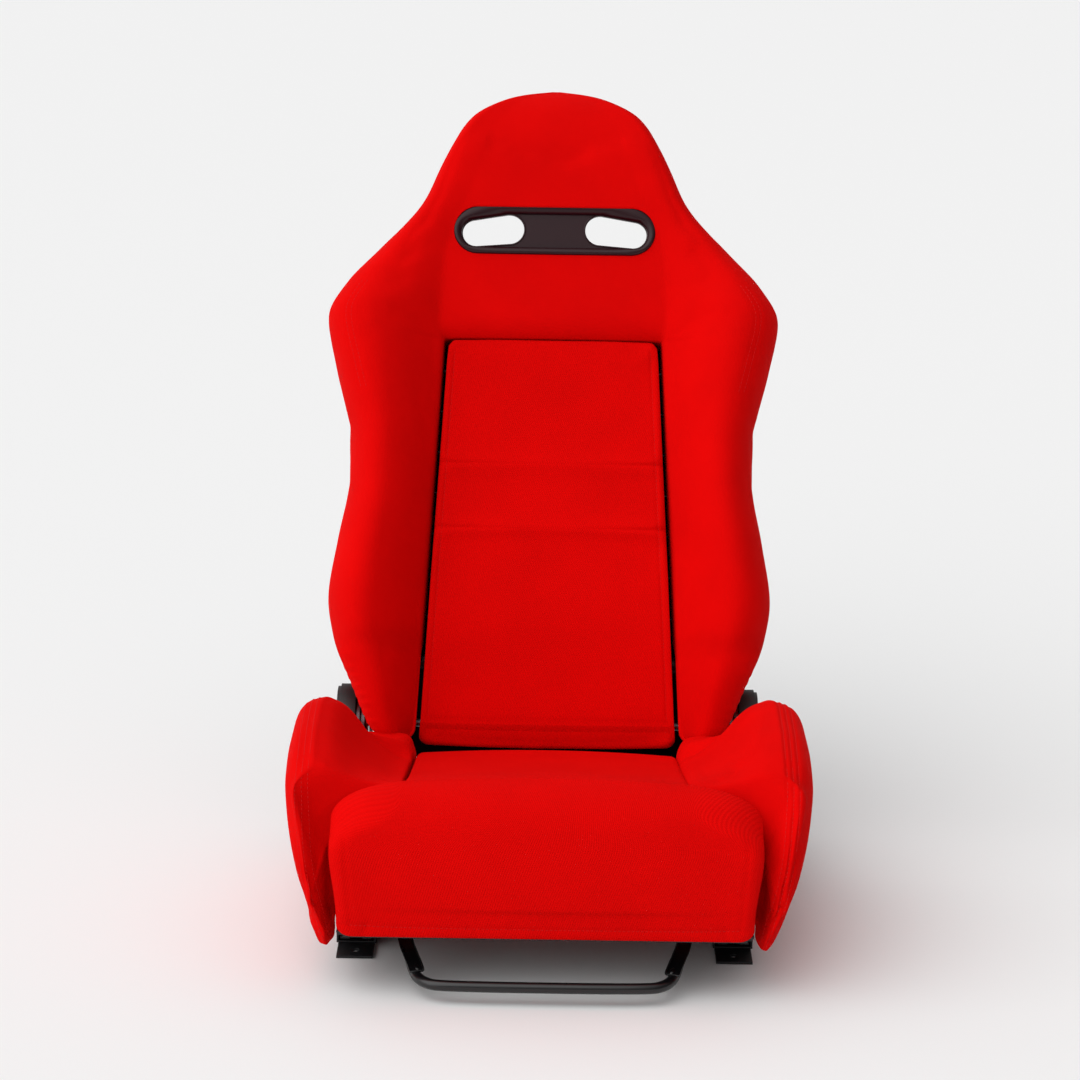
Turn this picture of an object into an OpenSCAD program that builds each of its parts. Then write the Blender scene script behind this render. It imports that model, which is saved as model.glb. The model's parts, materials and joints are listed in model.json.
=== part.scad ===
// Reclining sports seat on slide rails: fabric bolsters over foam, a steel frame,
// two toothed recliners joined by a rod, and a lift-bar that frees the slides.
// X runs across the seat (+X is the sitter's left), Y from front to back, Z up from the floor.
// The origin is the middle of the four floor bolts, on the floor.

/* [Seat] */
// Width across the thigh bolsters
seat_w = 572; // [560:2:590]
// Front face of the cushion, ahead of the floor bolts' middle
cushion_reach = 322; // [316:1:328]
// Height of the cushion's front crown
crown_h = 222; // [214:1:230]
// Width of the front roll of the cushion
roll_w = 462; // [456:1:464]
// Width of the cushion between the thigh bolsters
centre_w = 305; // [299:1:305]

/* [Backrest] */
// Lean of the backrest from upright, in degrees
recline = 20; // [14:1:26]
// Height of the recliner axis over the floor
hinge_z = 140; // [140:1:150]
// Recliner axis, behind the floor bolts' middle
hinge_y = 200; // [198:1:206]
// Length of the backrest above the recliner axis
back_len = 778; // [770:1:790]
// Middle of the belt slots, above the recliner axis
bezel_v = 597; // [592:1:602]

/* [Frame and rails] */
// Distance between the two rails
rail_span = 416; // [412:1:420]
// Distance between front and rear floor bolts
bolt_pitch = 380; // [376:1:384]
// Radius of a floor bolt's hole
bolt_r = 4.5; // [4.25:0.05:5.5]
// Radius of the backrest tube
tube_r = 12.5; // [11:0.5:12.5]
// Radius of the recliner's cross rod
rod_r = 5; // [4:0.5:5]
// Radius of the lift-bar
bar_r = 6; // [5:0.5:7]

/* [Hidden] */
$fn = 48;

// Rails
rail_x = rail_span / 2;
rail_reach = 170;
foot_t = 3;
rail_t = 2.5;
rail_top = 24;
upper_top = 40;
ball_r = 3.4;
ball_z = 18;
ball_in = 14.5;
flange_z = 12;
// Recliner stack, measured from the middle of the seat outwards
web_in = 221;
web_out = 224;
plate_in = 219;
plate_out = 223;
base_out = 229;
cover_out = 252;
// Cushion and bolsters
bolster_front = -247.5;
rear_end = 128;
centre_x = centre_w / 2;
pan_z = 73;
member_top = 93;
spring_r = 1.75;
front_tube = [-205, 76];
rear_tube = [150, 62];
// Backrest surfaces, w is the distance in front of the recliner axis
insert_bottom = -30;
insert_top = 465;
wing_bottom = -14;
wing_top = 576;
foam_rear_w = -9;
panel_w = -46;
panel_t = 4;
slot_tilt = 9.5;
slot_x = 75;
slot_reach = 20;
slot_r = 19;
passage_rise = 7;
rear_v = 607.6;
bar_front = -330;
bar_z = 20;
latch_top = 28.2;
sector_teeth = 26;
frame_w = -25;
pawl_pivot = [160, 110];
bar_pivot = [40, 33];
rivet_vs = [60, 130];

// ---------- helpers ----------

function mix(a, b, t) = a + (b - a) * t;

function reversed(list) = [for (i = [len(list) - 1:-1:0]) list[i]];

function middle(ring) = [for (k = [0:2]) [for (p = ring) p[k]] * [for (p = ring) 1] / len(ring)];

// How far a ring turns right-handed about the way to the next ring.
function turning(ring, way) = [for (j = [0:len(ring) - 1])
    cross(ring[j] - middle(ring), ring[(j + 1) % len(ring)] - middle(ring)) * way] * [for (p = ring) 1];

// Closed solid through rings of points; every ring has the same count.
module loft(drawn) {
    rings = turning(drawn[0], middle(drawn[1]) - middle(drawn[0])) > 0 ? drawn
        : [for (ring = drawn) reversed(ring)];
    n = len(rings[0]);
    m = len(rings);
    points = [middle(rings[0]), middle(rings[m - 1]), each [for (ring = rings) each ring]];
    function at(i, j) = 2 + i * n + j % n;
    faces = [
        for (j = [0:n - 1]) [0, at(0, j), at(0, j + 1)],
        for (i = [0:m - 2], j = [0:n - 1]) each [
            [at(i, j), at(i + 1, j), at(i + 1, j + 1)], [at(i, j), at(i + 1, j + 1), at(i, j + 1)]],
        for (j = [0:n - 1]) [1, at(m - 1, j + 1), at(m - 1, j)]];
    polyhedron(points, faces);
}

function unit(v) = v / norm(v);

// Round bar of radius r that follows points lying roughly in a plane whose normal is side.
module bar_along(points, r, side, sides = 12) {
    last = len(points) - 1;
    function way(i) = unit(points[min(i + 1, last)] - points[max(i - 1, 0)]);
    loft([for (i = [0:last]) let (d = way(i), u = unit(cross(d, side)), v = cross(u, d))
        [for (k = [0:sides - 1]) points[i] + r * (u * cos(360 * k / sides) + v * sin(360 * k / sides))]]);
}

// The same bar bored out to a wall thickness, open at both ends.
module tube_along(points, r, wall, side, sides = 12) {
    last = len(points) - 1;
    start = points[0] - unit(points[1] - points[0]);
    end = points[last] + unit(points[last] - points[last - 1]);
    difference() {
        bar_along(points, r, side, sides);
        bar_along([start, each [for (i = [1:last - 1]) points[i]], end], r - wall, side, sides);
    }
}

// Points of an arc from one angle to another about a centre, in the plane of unit vectors a and b.
function arc(centre, r, from, to, a, b, steps = 6) =
    [for (i = [0:steps]) let (t = mix(from, to, i / steps)) centre + r * (a * cos(t) + b * sin(t))];

module across(x0, x1) translate([x0, 0, 0]) rotate([90, 0, 90]) linear_extrude(x1 - x0) children();

module rod_x(x0, x1, r, y, z) translate([x0, y, z]) rotate([0, 90, 0]) cylinder(r = r, h = x1 - x0);

// A half outline and its mirror image in x = 0, as one outline.
function mirrored(half) = concat(half, [for (p = reversed(half)) [-p[0], p[1]]]);

// The same for half of a line in space.
function whole(half) = concat(half, [for (p = reversed(half)) [-p[0], p[1], p[2]]]);

module both_sides() {
    children();
    mirror([1, 0, 0]) children();
}

// Backrest frame: x across, y = -w (forwards is negative), z = v up the backrest.
module in_backrest() translate([0, hinge_y, hinge_z]) rotate([-recline, 0, 0]) children();

module stadium(reach, r) {
    for (s = [-1, 1]) translate([s * reach, 0]) circle(r);
    square([2 * reach, 2 * r], center = true);
}

// ---------- slide rails ----------

module lower_rail() {
    color([0.12, 0.12, 0.13])
        translate([rail_x, rail_reach, 0]) rotate([90, 0, 0]) linear_extrude(2 * rail_reach)
            polygon(mirrored([[22, foot_t], [22, rail_top], [12, rail_top],
                [12, rail_top - rail_t], [19.5, rail_top - rail_t], [19.5, foot_t + rail_t]]));
}

module lower_rail_left() lower_rail();
module lower_rail_right() mirror([1, 0, 0]) lower_rail();

module rail_feet() {
    color([0.12, 0.12, 0.13])
        both_sides() for (s = [-1, 1]) difference() {
            translate([rail_x, s * (bolt_pitch / 2 - 20), foot_t / 2]) cube([40, 76, foot_t], center = true);
            translate([rail_x, s * bolt_pitch / 2, -1]) cylinder(r = bolt_r, h = foot_t + 2);
        }
}

ball_ys = [-105, -72, 72, 105];

module rail_balls() {
    color([0.75, 0.75, 0.77])
        both_sides() for (y = ball_ys, s = [-1, 1])
            translate([rail_x + s * ball_in, y, ball_z]) sphere(ball_r);
}

module ball_cages() {
    color([0.85, 0.83, 0.75])
        both_sides() for (s = [-1, 1], pair = [0, 2]) difference() {
            translate([rail_x + s * ball_in - 4.3, ball_ys[pair] - 10, ball_z - 1])
                cube([8.6, ball_ys[pair + 1] - ball_ys[pair] + 20, 2]);
            for (k = [0, 1]) translate([rail_x + s * ball_in, ball_ys[pair + k], ball_z - 2])
                cylinder(r = ball_r + 0.1, h = 4);
        }
}

module upper_rail() {
    color([0.16, 0.16, 0.17]) difference() {
        translate([rail_x, 220, 0]) rotate([90, 0, 0]) linear_extrude(400)
            polygon(mirrored([[7, upper_top - rail_t], [7, flange_z], [17, flange_z],
                [17, flange_z + rail_t], [9.5, flange_z + rail_t], [9.5, upper_top]]));
        for (y = [-140, 120]) translate([rail_x, y, upper_top - 10]) cylinder(r = 4.1, h = 20);
    }
}

module upper_rail_left() upper_rail();
module upper_rail_right() mirror([1, 0, 0]) upper_rail();

// ---------- seat frame ----------

module side_member() {
    color([0.1, 0.1, 0.11]) difference() {
        translate([0, 235, 0]) rotate([90, 0, 0]) linear_extrude(475)
            polygon([[193, upper_top], [web_out, upper_top], [web_out, member_top], [207, member_top],
                [207, member_top - 3], [web_in, member_top - 3], [web_in, upper_top + 3],
                [193, upper_top + 3]]);
        for (y = [-140, 120]) translate([rail_x, y, upper_top - 1]) cylinder(r = 4.1, h = 6);
        for (y = [178, 222]) rod_x(web_in - 1, web_out + 1, 4.1, y, 62);
    }
}

module side_member_left() side_member();
module side_member_right() mirror([1, 0, 0]) side_member();

module front_cross_tube() {
    color([0.1, 0.1, 0.11]) difference() {
        rod_x(-web_in, web_in, 11, front_tube[0], front_tube[1]);
        rod_x(-web_in - 1, web_in + 1, 9, front_tube[0], front_tube[1]);
    }
}

module rear_cross_tube() {
    color([0.1, 0.1, 0.11]) difference() {
        rod_x(-web_in, web_in, 10, rear_tube[0], rear_tube[1]);
        rod_x(-web_in - 1, web_in + 1, 8, rear_tube[0], rear_tube[1]);
    }
}

module front_pan() {
    color([0.1, 0.1, 0.11])
        across(-web_in, web_in)
            polygon([[-312, pan_z - 2], [-216, pan_z - 2], [-216, pan_z], [-312, pan_z]]);
}

module front_edge_clip() {
    color([0.05, 0.05, 0.05])
        across(-214, 214) polygon([[-314, pan_z - 6], [-300, pan_z - 5], [-300, pan_z - 2.2],
            [-312.2, pan_z - 2.2], [-312.2, pan_z - 0.3], [-314, pan_z - 0.3]]);
}

// Four zigzag springs from the front tube to the rear tube.
function spring_line(y) = mix(front_tube[1] + 11 + spring_r, rear_tube[1] + 10 + spring_r,
    (y - front_tube[0]) / (rear_tube[0] - front_tube[0]));

module cushion_springs() {
    waves = 9;
    steps = 6;
    color([0.3, 0.3, 0.31])
        for (x0 = [-105, -35, 35, 105])
            bar_along([for (i = [0:waves * steps])
                let (y = mix(front_tube[0], rear_tube[0], i / (waves * steps)))
                [x0 + 16 * sin(360 * i / steps), y, spring_line(y)]], spring_r, [0, 0, 1], 6);
}

module rail_bolts() {
    color([0.7, 0.7, 0.72])
        both_sides() for (y = [-140, 120]) translate([rail_x, y, 0]) {
            translate([0, 0, upper_top - 8]) cylinder(r = 4, h = 11);
            translate([0, 0, upper_top + 3]) cylinder(r = 7, h = 5, $fn = 6);
        }
}

// ---------- cushion ----------

function cushion_top(y) = lookup(y, [[bolster_front, crown_h - 1], [-150, 196], [-50, 171], [50, 148],
    [105, 136], [rear_end, 122]]);
function cushion_bottom(y) = spring_line(y) + spring_r;

module cushion_centre() {
    ys = [bolster_front, -200, -150, -50, 50, 105, rear_end];
    color([0.8, 0.02, 0.02])
        loft([for (y = ys) let (x = centre_x, t = cushion_top(y), b = cushion_bottom(y))
            [[-x, y, b], [x, y, b], [x, y, t - 14], [x - 12, y, t - 3], [x / 2, y, t],
                [-x / 2, y, t], [-x + 12, y, t - 3], [-x, y, t - 14]]]);
}

module cushion_front_roll() {
    front = -cushion_reach;
    section = [[-300, pan_z], [front + 7, 77], [front + 1, 100], [front, 150], [front + 6, 184],
        [front + 22, 207], [front + 44, 219], [-256, crown_h], [-248, crown_h], [-248, 100],
        [-262, 84], [-280, pan_z]];
    middle = [-280, 145];
    function end(x, share) = [for (p = section)
        [x, mix(middle[0], p[0], share), mix(middle[1], p[1], share)]];
    half = roll_w / 2;
    color([0.8, 0.02, 0.02])
        loft([end(-half, 0.8), end(-half + 5, 0.94), end(-half + 18, 1), end(half - 18, 1),
            end(half - 5, 0.94), end(half, 0.8)]);
}

// Thigh bolster: crest height, outer width and foot height at each distance from the front.
crest = [[-303, 125], [-292, 168], [-272, 208], [bolster_front, 230], [-205, 248], [-150, 258], [-80, 260],
    [-20, 250], [30, 220], [65, 178], [95, 148], [rear_end, 138]];
flare = [[-303, -28], [-292, -16], [-272, -7], [bolster_front, -3], [-205, -1], [-150, 0], [-80, 0],
    [-20, -4], [30, -14], [65, -22], [95, -30], [rear_end, -36]];
foot = [[-303, 76], [-292, 52], [-272, 46], [bolster_front, 46], [-100, 50], [rear_end, 52]];

function bolster_ring(y, front_part) = let (
    top = lookup(y, crest), out = seat_w / 2 + lookup(y, flare), low = lookup(y, foot),
    inner = front_part ? 234 : centre_x + 1,
    inner_z = front_part ? mix(low, top, 0.72) : min(cushion_top(y) - 4, top - 8))
    [[inner, y, member_top], [inner, y, inner_z], [mix(inner, out, 0.34), y, mix(inner_z, top, 0.38)],
        [mix(inner, out, 0.55), y, mix(inner_z, top, 0.82)], [mix(inner, out, 0.7), y, top],
        [mix(inner, out, 0.86), y, top - 3], [out - 3, y, mix(low, top, 0.84)], [out, y, mix(low, top, 0.68)],
        [out - 5, y, mix(low, top, 0.45)], [mix(246, out, 0.3), y, mix(low, top, 0.2)], [246, y, low],
        [237, y, low], [236, y, member_top]];

module thigh_bolster() {
    color([0.8, 0.02, 0.02])
        loft([each [for (y = [-303, -292, -272, bolster_front - 0.5]) bolster_ring(y, true)],
            each [for (y = [bolster_front, -205, -150, -80, -20, 30, 65, 95, rear_end])
                bolster_ring(y, false)]]);
}

module thigh_bolster_left() thigh_bolster();
module thigh_bolster_right() mirror([1, 0, 0]) thigh_bolster();

// ---------- recliner, seat side ----------

module recliner_base() {
    color([0.45, 0.45, 0.47]) difference() {
        union() {
            across(web_out, base_out) {
                translate([hinge_y, hinge_z]) circle(36);
                translate([150, 44]) square([86, 76]);
            }
            rod_x(217, web_out + 1, 12, hinge_y, hinge_z);
        }
        rod_x(210, 235, rod_r + 0.06, hinge_y, hinge_z);
        for (y = [178, 222]) rod_x(web_out - 1, base_out + 1, 4.1, y, 62);
        rod_x(web_out - 1, base_out + 1, 3.5, pawl_pivot[0], pawl_pivot[1]);
    }
}

module recliner_base_left() recliner_base();
module recliner_base_right() mirror([1, 0, 0]) recliner_base();

module pivot_washers() {
    color([0.7, 0.7, 0.72]) both_sides() difference() {
        rod_x(215.4, 217, 16, hinge_y, hinge_z);
        rod_x(214, 218, rod_r + 0.3, hinge_y, hinge_z);
    }
}

module recliner_bolts() {
    color([0.7, 0.7, 0.72]) both_sides() for (y = [178, 222]) {
        rod_x(216, 233, 4, y, 62);
        translate([base_out, y, 62]) rotate([0, 90, 0]) cylinder(r = 7, h = 5, $fn = 6);
        difference() {
            translate([216, y, 62]) rotate([0, 90, 0]) cylinder(r = 7, h = 5, $fn = 6);
            rod_x(215, 222, 3.9, y, 62);
        }
    }
}

module pawl_pins() {
    color([0.7, 0.7, 0.72]) both_sides() rod_x(217.5, base_out, 3.5, pawl_pivot[0], pawl_pivot[1]);
}

module cover_shape(grow) {
    translate([hinge_y, hinge_z]) circle(46 + grow);
    translate([156 - grow, 50 - grow]) square([88 + 2 * grow, 92 + grow]);
}

module hinge_cover(rod_hole) {
    color([0.09, 0.07, 0.08]) difference() {
        union() {
            across(base_out + 0.3, cover_out - 4) cover_shape(0);
            across(cover_out - 4, cover_out) cover_shape(-3);
        }
        across(base_out - 1, cover_out - 2.5) cover_shape(-5);
        if (rod_hole) rod_x(cover_out - 6, cover_out + 1, rod_r + 0.5, hinge_y, hinge_z);
        for (y = [168, 232]) rod_x(base_out - 1, cover_out + 1, 2.1, y, 84);
    }
}

module hinge_cover_left() hinge_cover(true);
module hinge_cover_right() mirror([1, 0, 0]) hinge_cover(false);

module cover_screws() {
    color([0.06, 0.06, 0.06]) both_sides() for (y = [168, 232]) {
        rod_x(base_out, cover_out, 2, y, 84);
        rod_x(cover_out, cover_out + 1.6, 4.5, y, 84);
    }
}

// ---------- lift-bar of the slides ----------

module bar_pivot_pins() {
    color([0.7, 0.7, 0.72]) both_sides() {
        rod_x(167, rail_x - 9.5, 4, bar_pivot[0], bar_pivot[1]);
        rod_x(165, 167, 7, bar_pivot[0], bar_pivot[1]);
    }
}

// Half of the lift-bar's line, from the pivot eye to the middle of the front bar.
bar_half = [[176, 34, 33], [175, 0, 33], [163, -120, 31], [150, -235, 28], [141, -285, 23],
    [133, -308, bar_z + 1], [124, -321, bar_z], [110, -328, bar_z], [94, bar_front, bar_z],
    [40, bar_front - 1, bar_z]];

module slide_bar() {
    color([0.05, 0.04, 0.05]) difference() {
        union() {
            bar_along(whole(bar_half), bar_r, [0, 0, 1], 12);
            both_sides() {
                rod_x(169, 183, 10, bar_pivot[0], bar_pivot[1]);
                translate([175, -5, latch_top]) cube([15, 30, 3]);
            }
        }
        both_sides() rod_x(168, 184, 4.06, bar_pivot[0], bar_pivot[1]);
    }
}

module latch_plates() {
    color([0.45, 0.45, 0.47]) both_sides() difference() {
        translate([183, -5, latch_top - 3]) cube([14.5, 30, 3]);
        for (y = [0, 10, 20]) translate([191, y - 2.5, latch_top - 4]) cube([8, 5, 6]);
    }
}

module bar_return_springs() {
    turns = 4;
    steps = 12;
    color([0.3, 0.3, 0.31]) both_sides()
        bar_along([for (i = [0:turns * steps]) let (t = 360 * i / steps)
            [184 + i * 10 / (turns * steps), bar_pivot[0] + 6.4 * cos(t), bar_pivot[1] + 6.4 * sin(t)]],
            0.9, [1, 0, 0], 6);
}

// ---------- backrest frame ----------

function sector_point(i) = let (t = 205 + recline + i * 4.6 / 2, r = i % 2 == 0 ? 31 : 34)
    [r * cos(t), r * sin(t)];

module side_plate() {
    color([0.45, 0.45, 0.47]) in_backrest() difference() {
        across(plate_in, plate_out) {
            circle(29);
            polygon([[0, 0], each [for (i = [0:2 * sector_teeth]) sector_point(i)]]);
            translate([-foam_rear_w + 0.5, 0]) square([28.5, 150]);
        }
        rod_x(plate_in - 1, plate_out + 1, 12.08, 0, 0);
        for (v = rivet_vs) rod_x(plate_in - 1, plate_out + 1, 3.05, 25, v);
    }
}

module side_plate_left() side_plate();
module side_plate_right() mirror([1, 0, 0]) side_plate();

hoop_x = plate_in - tube_r;

module back_frame_hoop() {
    bend = 70;
    top = 508;
    half = [[hoop_x, -frame_w, 20], [hoop_x, -frame_w, 160], [hoop_x, -frame_w, 300],
        each arc([hoop_x - bend, -frame_w, top - bend], bend, 0, 90, [1, 0, 0], [0, 0, 1], 8)];
    color([0.1, 0.1, 0.11]) in_backrest() tube_along(whole(half), tube_r, 2, [0, 1, 0], 16);
}

module loop_bar(r) {
    x = 128;
    bend = 60;
    top = 722;
    half = [[x, -frame_w, 520.5], [x, -frame_w, 640],
        each arc([x - bend, -frame_w, top - bend], bend, 0, 90, [1, 0, 0], [0, 0, 1], 6)];
    in_backrest() bar_along(whole(half), r, [0, 1, 0], 12);
}

module head_loop() {
    color([0.1, 0.1, 0.11]) loop_bar(6);
}

module lower_back_tube() {
    color([0.1, 0.1, 0.11]) in_backrest() difference() {
        rod_x(-hoop_x + tube_r, hoop_x - tube_r, 10, -frame_w, 75);
        rod_x(-hoop_x, hoop_x, 8, -frame_w, 75);
    }
}

module back_wires() {
    wire_y = -frame_w - tube_r - 1.75;
    color([0.3, 0.3, 0.31]) in_backrest() {
        for (v = [130:50:430]) rod_x(-hoop_x, hoop_x, 1.75, wire_y, v);
        for (x = [-110, 0, 110]) translate([x, wire_y + 2.9, 120]) cylinder(r = 1.25, h = 320);
    }
}

module plate_rivets() {
    color([0.7, 0.7, 0.72]) in_backrest() both_sides() for (v = rivet_vs) {
        rod_x(plate_in, plate_out, 3, 25, v);
        rod_x(plate_out, plate_out + 1.5, 5.5, 25, v);
    }
}

// ---------- backrest foam and cover ----------

// Half width of the backrest at each height v, and how far the wings' crest stands forward.
half_width = [[-14, 206], [0, 214], [40, 232], [74, 246], [100, 257], [145, 264], [215, 253], [295, 240],
    [350, 242], [430, 261], [488, 273], [532, 252], [576, 211], [635, 160], [680, 141], [742, 106],
    [767, 58], [778, 14]];
wing_crest = [[-14, 80], [0, 88], [60, 108], [130, 118], [215, 108], [300, 92], [380, 88], [450, 92],
    [500, 84], [540, 64], [576, 44]];

function insert_half(v) = mix(154.5, 128, (v - insert_bottom) / (insert_top - insert_bottom));
function wing_inner(v) = v <= insert_top ? insert_half(v) + 3
    : mix(131, 152, (v - insert_top) / (wing_top - insert_top));

function wing_ring(v, low) = let (
    inner = wing_inner(v), out = lookup(v, half_width), top = lookup(v, wing_crest),
    rear = low ? 48 : foam_rear_w, skirt = low ? 48 : panel_w, skirt_x = min(226, out - 16))
    [for (p = [[inner, rear], [inner, mix(rear, top, 0.45)], [mix(inner, out, 0.3), mix(rear, top, 0.82)],
        [mix(inner, out, 0.58), top], [mix(inner, out, 0.82), top - 5], [out - 4, mix(skirt, top, 0.78)],
        [out, mix(skirt, top, 0.5)], [out - 2, mix(skirt, top, 0.2)], [out - 10, skirt], [skirt_x, skirt],
        [skirt_x - 1, rear]]) [p[0], -p[1], v]];

module wing() {
    color([0.8, 0.02, 0.02]) in_backrest()
        loft([each [for (v = [wing_bottom, 0, 40, 74]) wing_ring(v, true)],
            each [for (v = [74.5, 100, 145, 215, 295, 350, 430, insert_top, 488, 532, wing_top])
                wing_ring(v, false)]]);
}

module wing_left() wing();
module wing_right() mirror([1, 0, 0]) wing();

function insert_front(v) = lookup(v, [[insert_bottom, 50], [20, 58], [110, 62], [200, 52], [330, 40],
    [insert_top, 36]]);

module back_insert() {
    color([0.8, 0.02, 0.02]) in_backrest()
        loft([for (s = [[insert_bottom, 26], [0, 14], [38, 14], [38.5, foam_rear_w], [110, foam_rear_w],
            [200, foam_rear_w], [330, foam_rear_w], [440, foam_rear_w], [insert_top, foam_rear_w]])
            let (x = insert_half(s[0]), f = insert_front(s[0]))
            [for (p = [[-x, s[1]], [x, s[1]], [x, f - 10], [x - 8, f - 2], [x / 2, f], [-x / 2, f],
                [-x + 8, f - 2], [-x, f - 10]]) [p[0], -p[1], s[0]]]]);
}

function head_front(v) = lookup(v, [[470, 34], [560, 33], [640, 36], [700, 38], [742, 30], [767, 14],
    [778, 2]]);
function head_rear(v) = lookup(v, [[577, panel_w], [700, panel_w], [742, -40], [767, -26], [778, -12]]);

function head_ring(v, low) = let (
    x = low ? wing_inner(v) - 0.8 : lookup(v, half_width), f = head_front(v),
    r = low ? foam_rear_w : head_rear(v), e = low ? 2 : min(24, x * 0.4))
    [for (p = [[-x + e, r], [x - e, r], [x, mix(r, f, 0.3)], [x, mix(r, f, 0.7)], [x - e, f], [0, f + 2],
        [-x + e, f], [-x, mix(r, f, 0.7)], [-x, mix(r, f, 0.3)]]) [p[0], -p[1], v]];

// The belt passage rises towards the rear by passage_rise degrees from the bezel's front face.
module passage(depth0, depth1) in_backrest()
    translate([0, -36.4, bezel_v]) rotate([passage_rise, 0, 0]) translate([0, depth1, 0])
        rotate([90, 0, 0]) linear_extrude(depth1 - depth0) children();

module bezel_cut(grow) passage(-20, 120) stadium(91, 28 + grow);

module head_pad() {
    color([0.8, 0.02, 0.02]) difference() {
        in_backrest() loft([each [for (v = [insert_top + 5, 532, wing_top]) head_ring(v, true)],
            each [for (v = [wing_top + 0.6, 635, 680, 720, 742, 767, back_len]) head_ring(v, false)]]);
        bezel_cut(0.2);
        bezel_layer(36.4, 60) stadium(91, 32.3);
        loop_bar(6.3);
    }
}

module back_panel() {
    half = [[188, -40], [196, 5], [205, 74], [232, 90], [248, 145], [237, 215], [224, 295], [226, 350],
        [245, 430], [257, 488], [238, 532], [198, 576], [146, 635], [126, 680], [92, 735], [48, 750]];
    color([0.05, 0.05, 0.05]) difference() {
        in_backrest() translate([0, -panel_w + panel_t, 0]) rotate([90, 0, 0]) linear_extrude(panel_t)
            polygon(mirrored(half));
        bezel_cut(0.2);
    }
}

// ---------- belt slots ----------

module belt_slots() {
    for (s = [-1, 1]) translate([s * slot_x, 0]) rotate(-s * slot_tilt) stadium(slot_reach, slot_r);
}

module bezel_layer(w0, w1, v = bezel_v) in_backrest()
    translate([0, -w0, v]) rotate([90, 0, 0]) linear_extrude(w1 - w0) children();

module belt_bezel_front() {
    color([0.09, 0.06, 0.08]) difference() {
        union() {
            bezel_layer(36.4, 42) stadium(91, 32);
            passage(-1, 38) stadium(91, 28);
        }
        passage(7, 39) stadium(91, 25.5);
        bezel_layer(31, 43) stadium(91, 25);
        passage(-10, 40) belt_slots();
    }
}

module belt_bezel_rear() {
    color([0.09, 0.06, 0.08]) difference() {
        union() {
            bezel_layer(-54, -50.2, rear_v) stadium(91, 32);
            passage(38.2, 88.5) stadium(91, 28);
        }
        passage(30, 95) stadium(91, 25.5);
        bezel_layer(-70, -54) square([300, 100], center = true);
    }
}

module bezel_screws() {
    color([0.7, 0.7, 0.72]) for (x = [-105, 105]) {
        bezel_layer(-55.6, -54, rear_v) translate([x, 28.7]) circle(2.6);
    }
}

// ---------- recline lever and locks ----------

module cross_rod() {
    color([0.45, 0.45, 0.47]) rod_x(-237, 262, rod_r, hinge_y, hinge_z);
}

// Flat lever: each ring is centre x, y, z, half thickness, half height.
function strap(rings) = [for (q = rings)
    [[q[0] - q[3], q[1], q[2] - q[4]], [q[0] + q[3], q[1], q[2] - q[4]],
        [q[0] + q[3], q[1], q[2] + q[4]], [q[0] - q[3], q[1], q[2] + q[4]]]];

module recline_lever() {
    color([0.1, 0.1, 0.11]) difference() {
        union() {
            rod_x(253, 259, 13, hinge_y, hinge_z);
            loft(strap([[256, 205, 140, 2, 9], [256, 170, 128, 2, 9], [258, 155, 122, 2, 9],
                [276, 130, 112, 2, 8], [280, 118, 108, 2, 7], [280, 62, 101, 2, 6]]));
        }
        rod_x(250, 262, rod_r + 0.02, hinge_y, hinge_z);
    }
}

module lever_grip() {
    color([0.06, 0.05, 0.06]) difference() {
        loft([for (q = [[280, 126, 109.4, 5.6, 9], [280, 122, 108.8, 6.6, 11], [280, 90, 104.5, 7, 12],
            [280, 60, 101, 7, 12], [280, 46, 100, 6, 10], [280, 41, 99.6, 3, 6]])
            [for (k = [0:11]) [q[0] + q[3] * cos(30 * k), q[1], q[2] + q[4] * sin(30 * k)]]]);
        loft(strap([[276, 130, 112, 2.2, 8.2], [280, 118, 108, 2.2, 7.2], [280, 61, 101, 2.2, 6.2]]));
    }
}

module lever_nut() {
    color([0.7, 0.7, 0.72]) difference() {
        translate([259, hinge_y, hinge_z]) rotate([0, 90, 0]) cylinder(r = 8.5, h = 5, $fn = 6);
        rod_x(258, 262.05, rod_r + 0.02, hinge_y, hinge_z);
    }
}

module rod_clip() {
    color([0.7, 0.7, 0.72]) difference() {
        rod_x(-233.5, -232, 9, hinge_y, hinge_z);
        rod_x(-234, -231, rod_r + 0.02, hinge_y, hinge_z);
    }
}

module cam_plates() {
    color([0.45, 0.45, 0.47]) both_sides() difference() {
        across(210, 214) {
            translate([hinge_y, hinge_z]) circle(11);
            translate([hinge_y, hinge_z]) rotate(-125) translate([0, -5]) square([26, 10]);
        }
        rod_x(209, 215, rod_r + 0.02, hinge_y, hinge_z);
    }
}

module lever_return_spring() {
    turns = 5;
    steps = 12;
    color([0.3, 0.3, 0.31])
        bar_along([for (i = [0:turns * steps]) let (t = 360 * i / steps)
            [196 + i * 12 / (turns * steps), hinge_y + 7 * cos(t), hinge_z + 7 * sin(t)]], 1, [1, 0, 0], 6);
}

// The pawl's toothed arm hugs the sector's rim and ends in a round eye about its pivot.
module pawl() {
    function rim(t) = [hinge_y + 35.4 * cos(t), hinge_z + 35.4 * sin(t)];
    function eye(t) = pawl_pivot + 7 * [cos(t), sin(t)];
    color([0.5, 0.5, 0.52]) difference() {
        across(plate_in, plate_out)
            polygon([each [for (t = [230:6:278]) rim(t)], [204, 98.4], [188, 97.6], [172, 99.5],
                each [for (t = [300:-20:60]) eye(t)]]);
        rod_x(plate_in - 1, plate_out + 1, 3.56, pawl_pivot[0], pawl_pivot[1]);
    }
}

module pawl_left() pawl();
module pawl_right() mirror([1, 0, 0]) pawl();

// ---------- one node at a time, or all ----------

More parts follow.
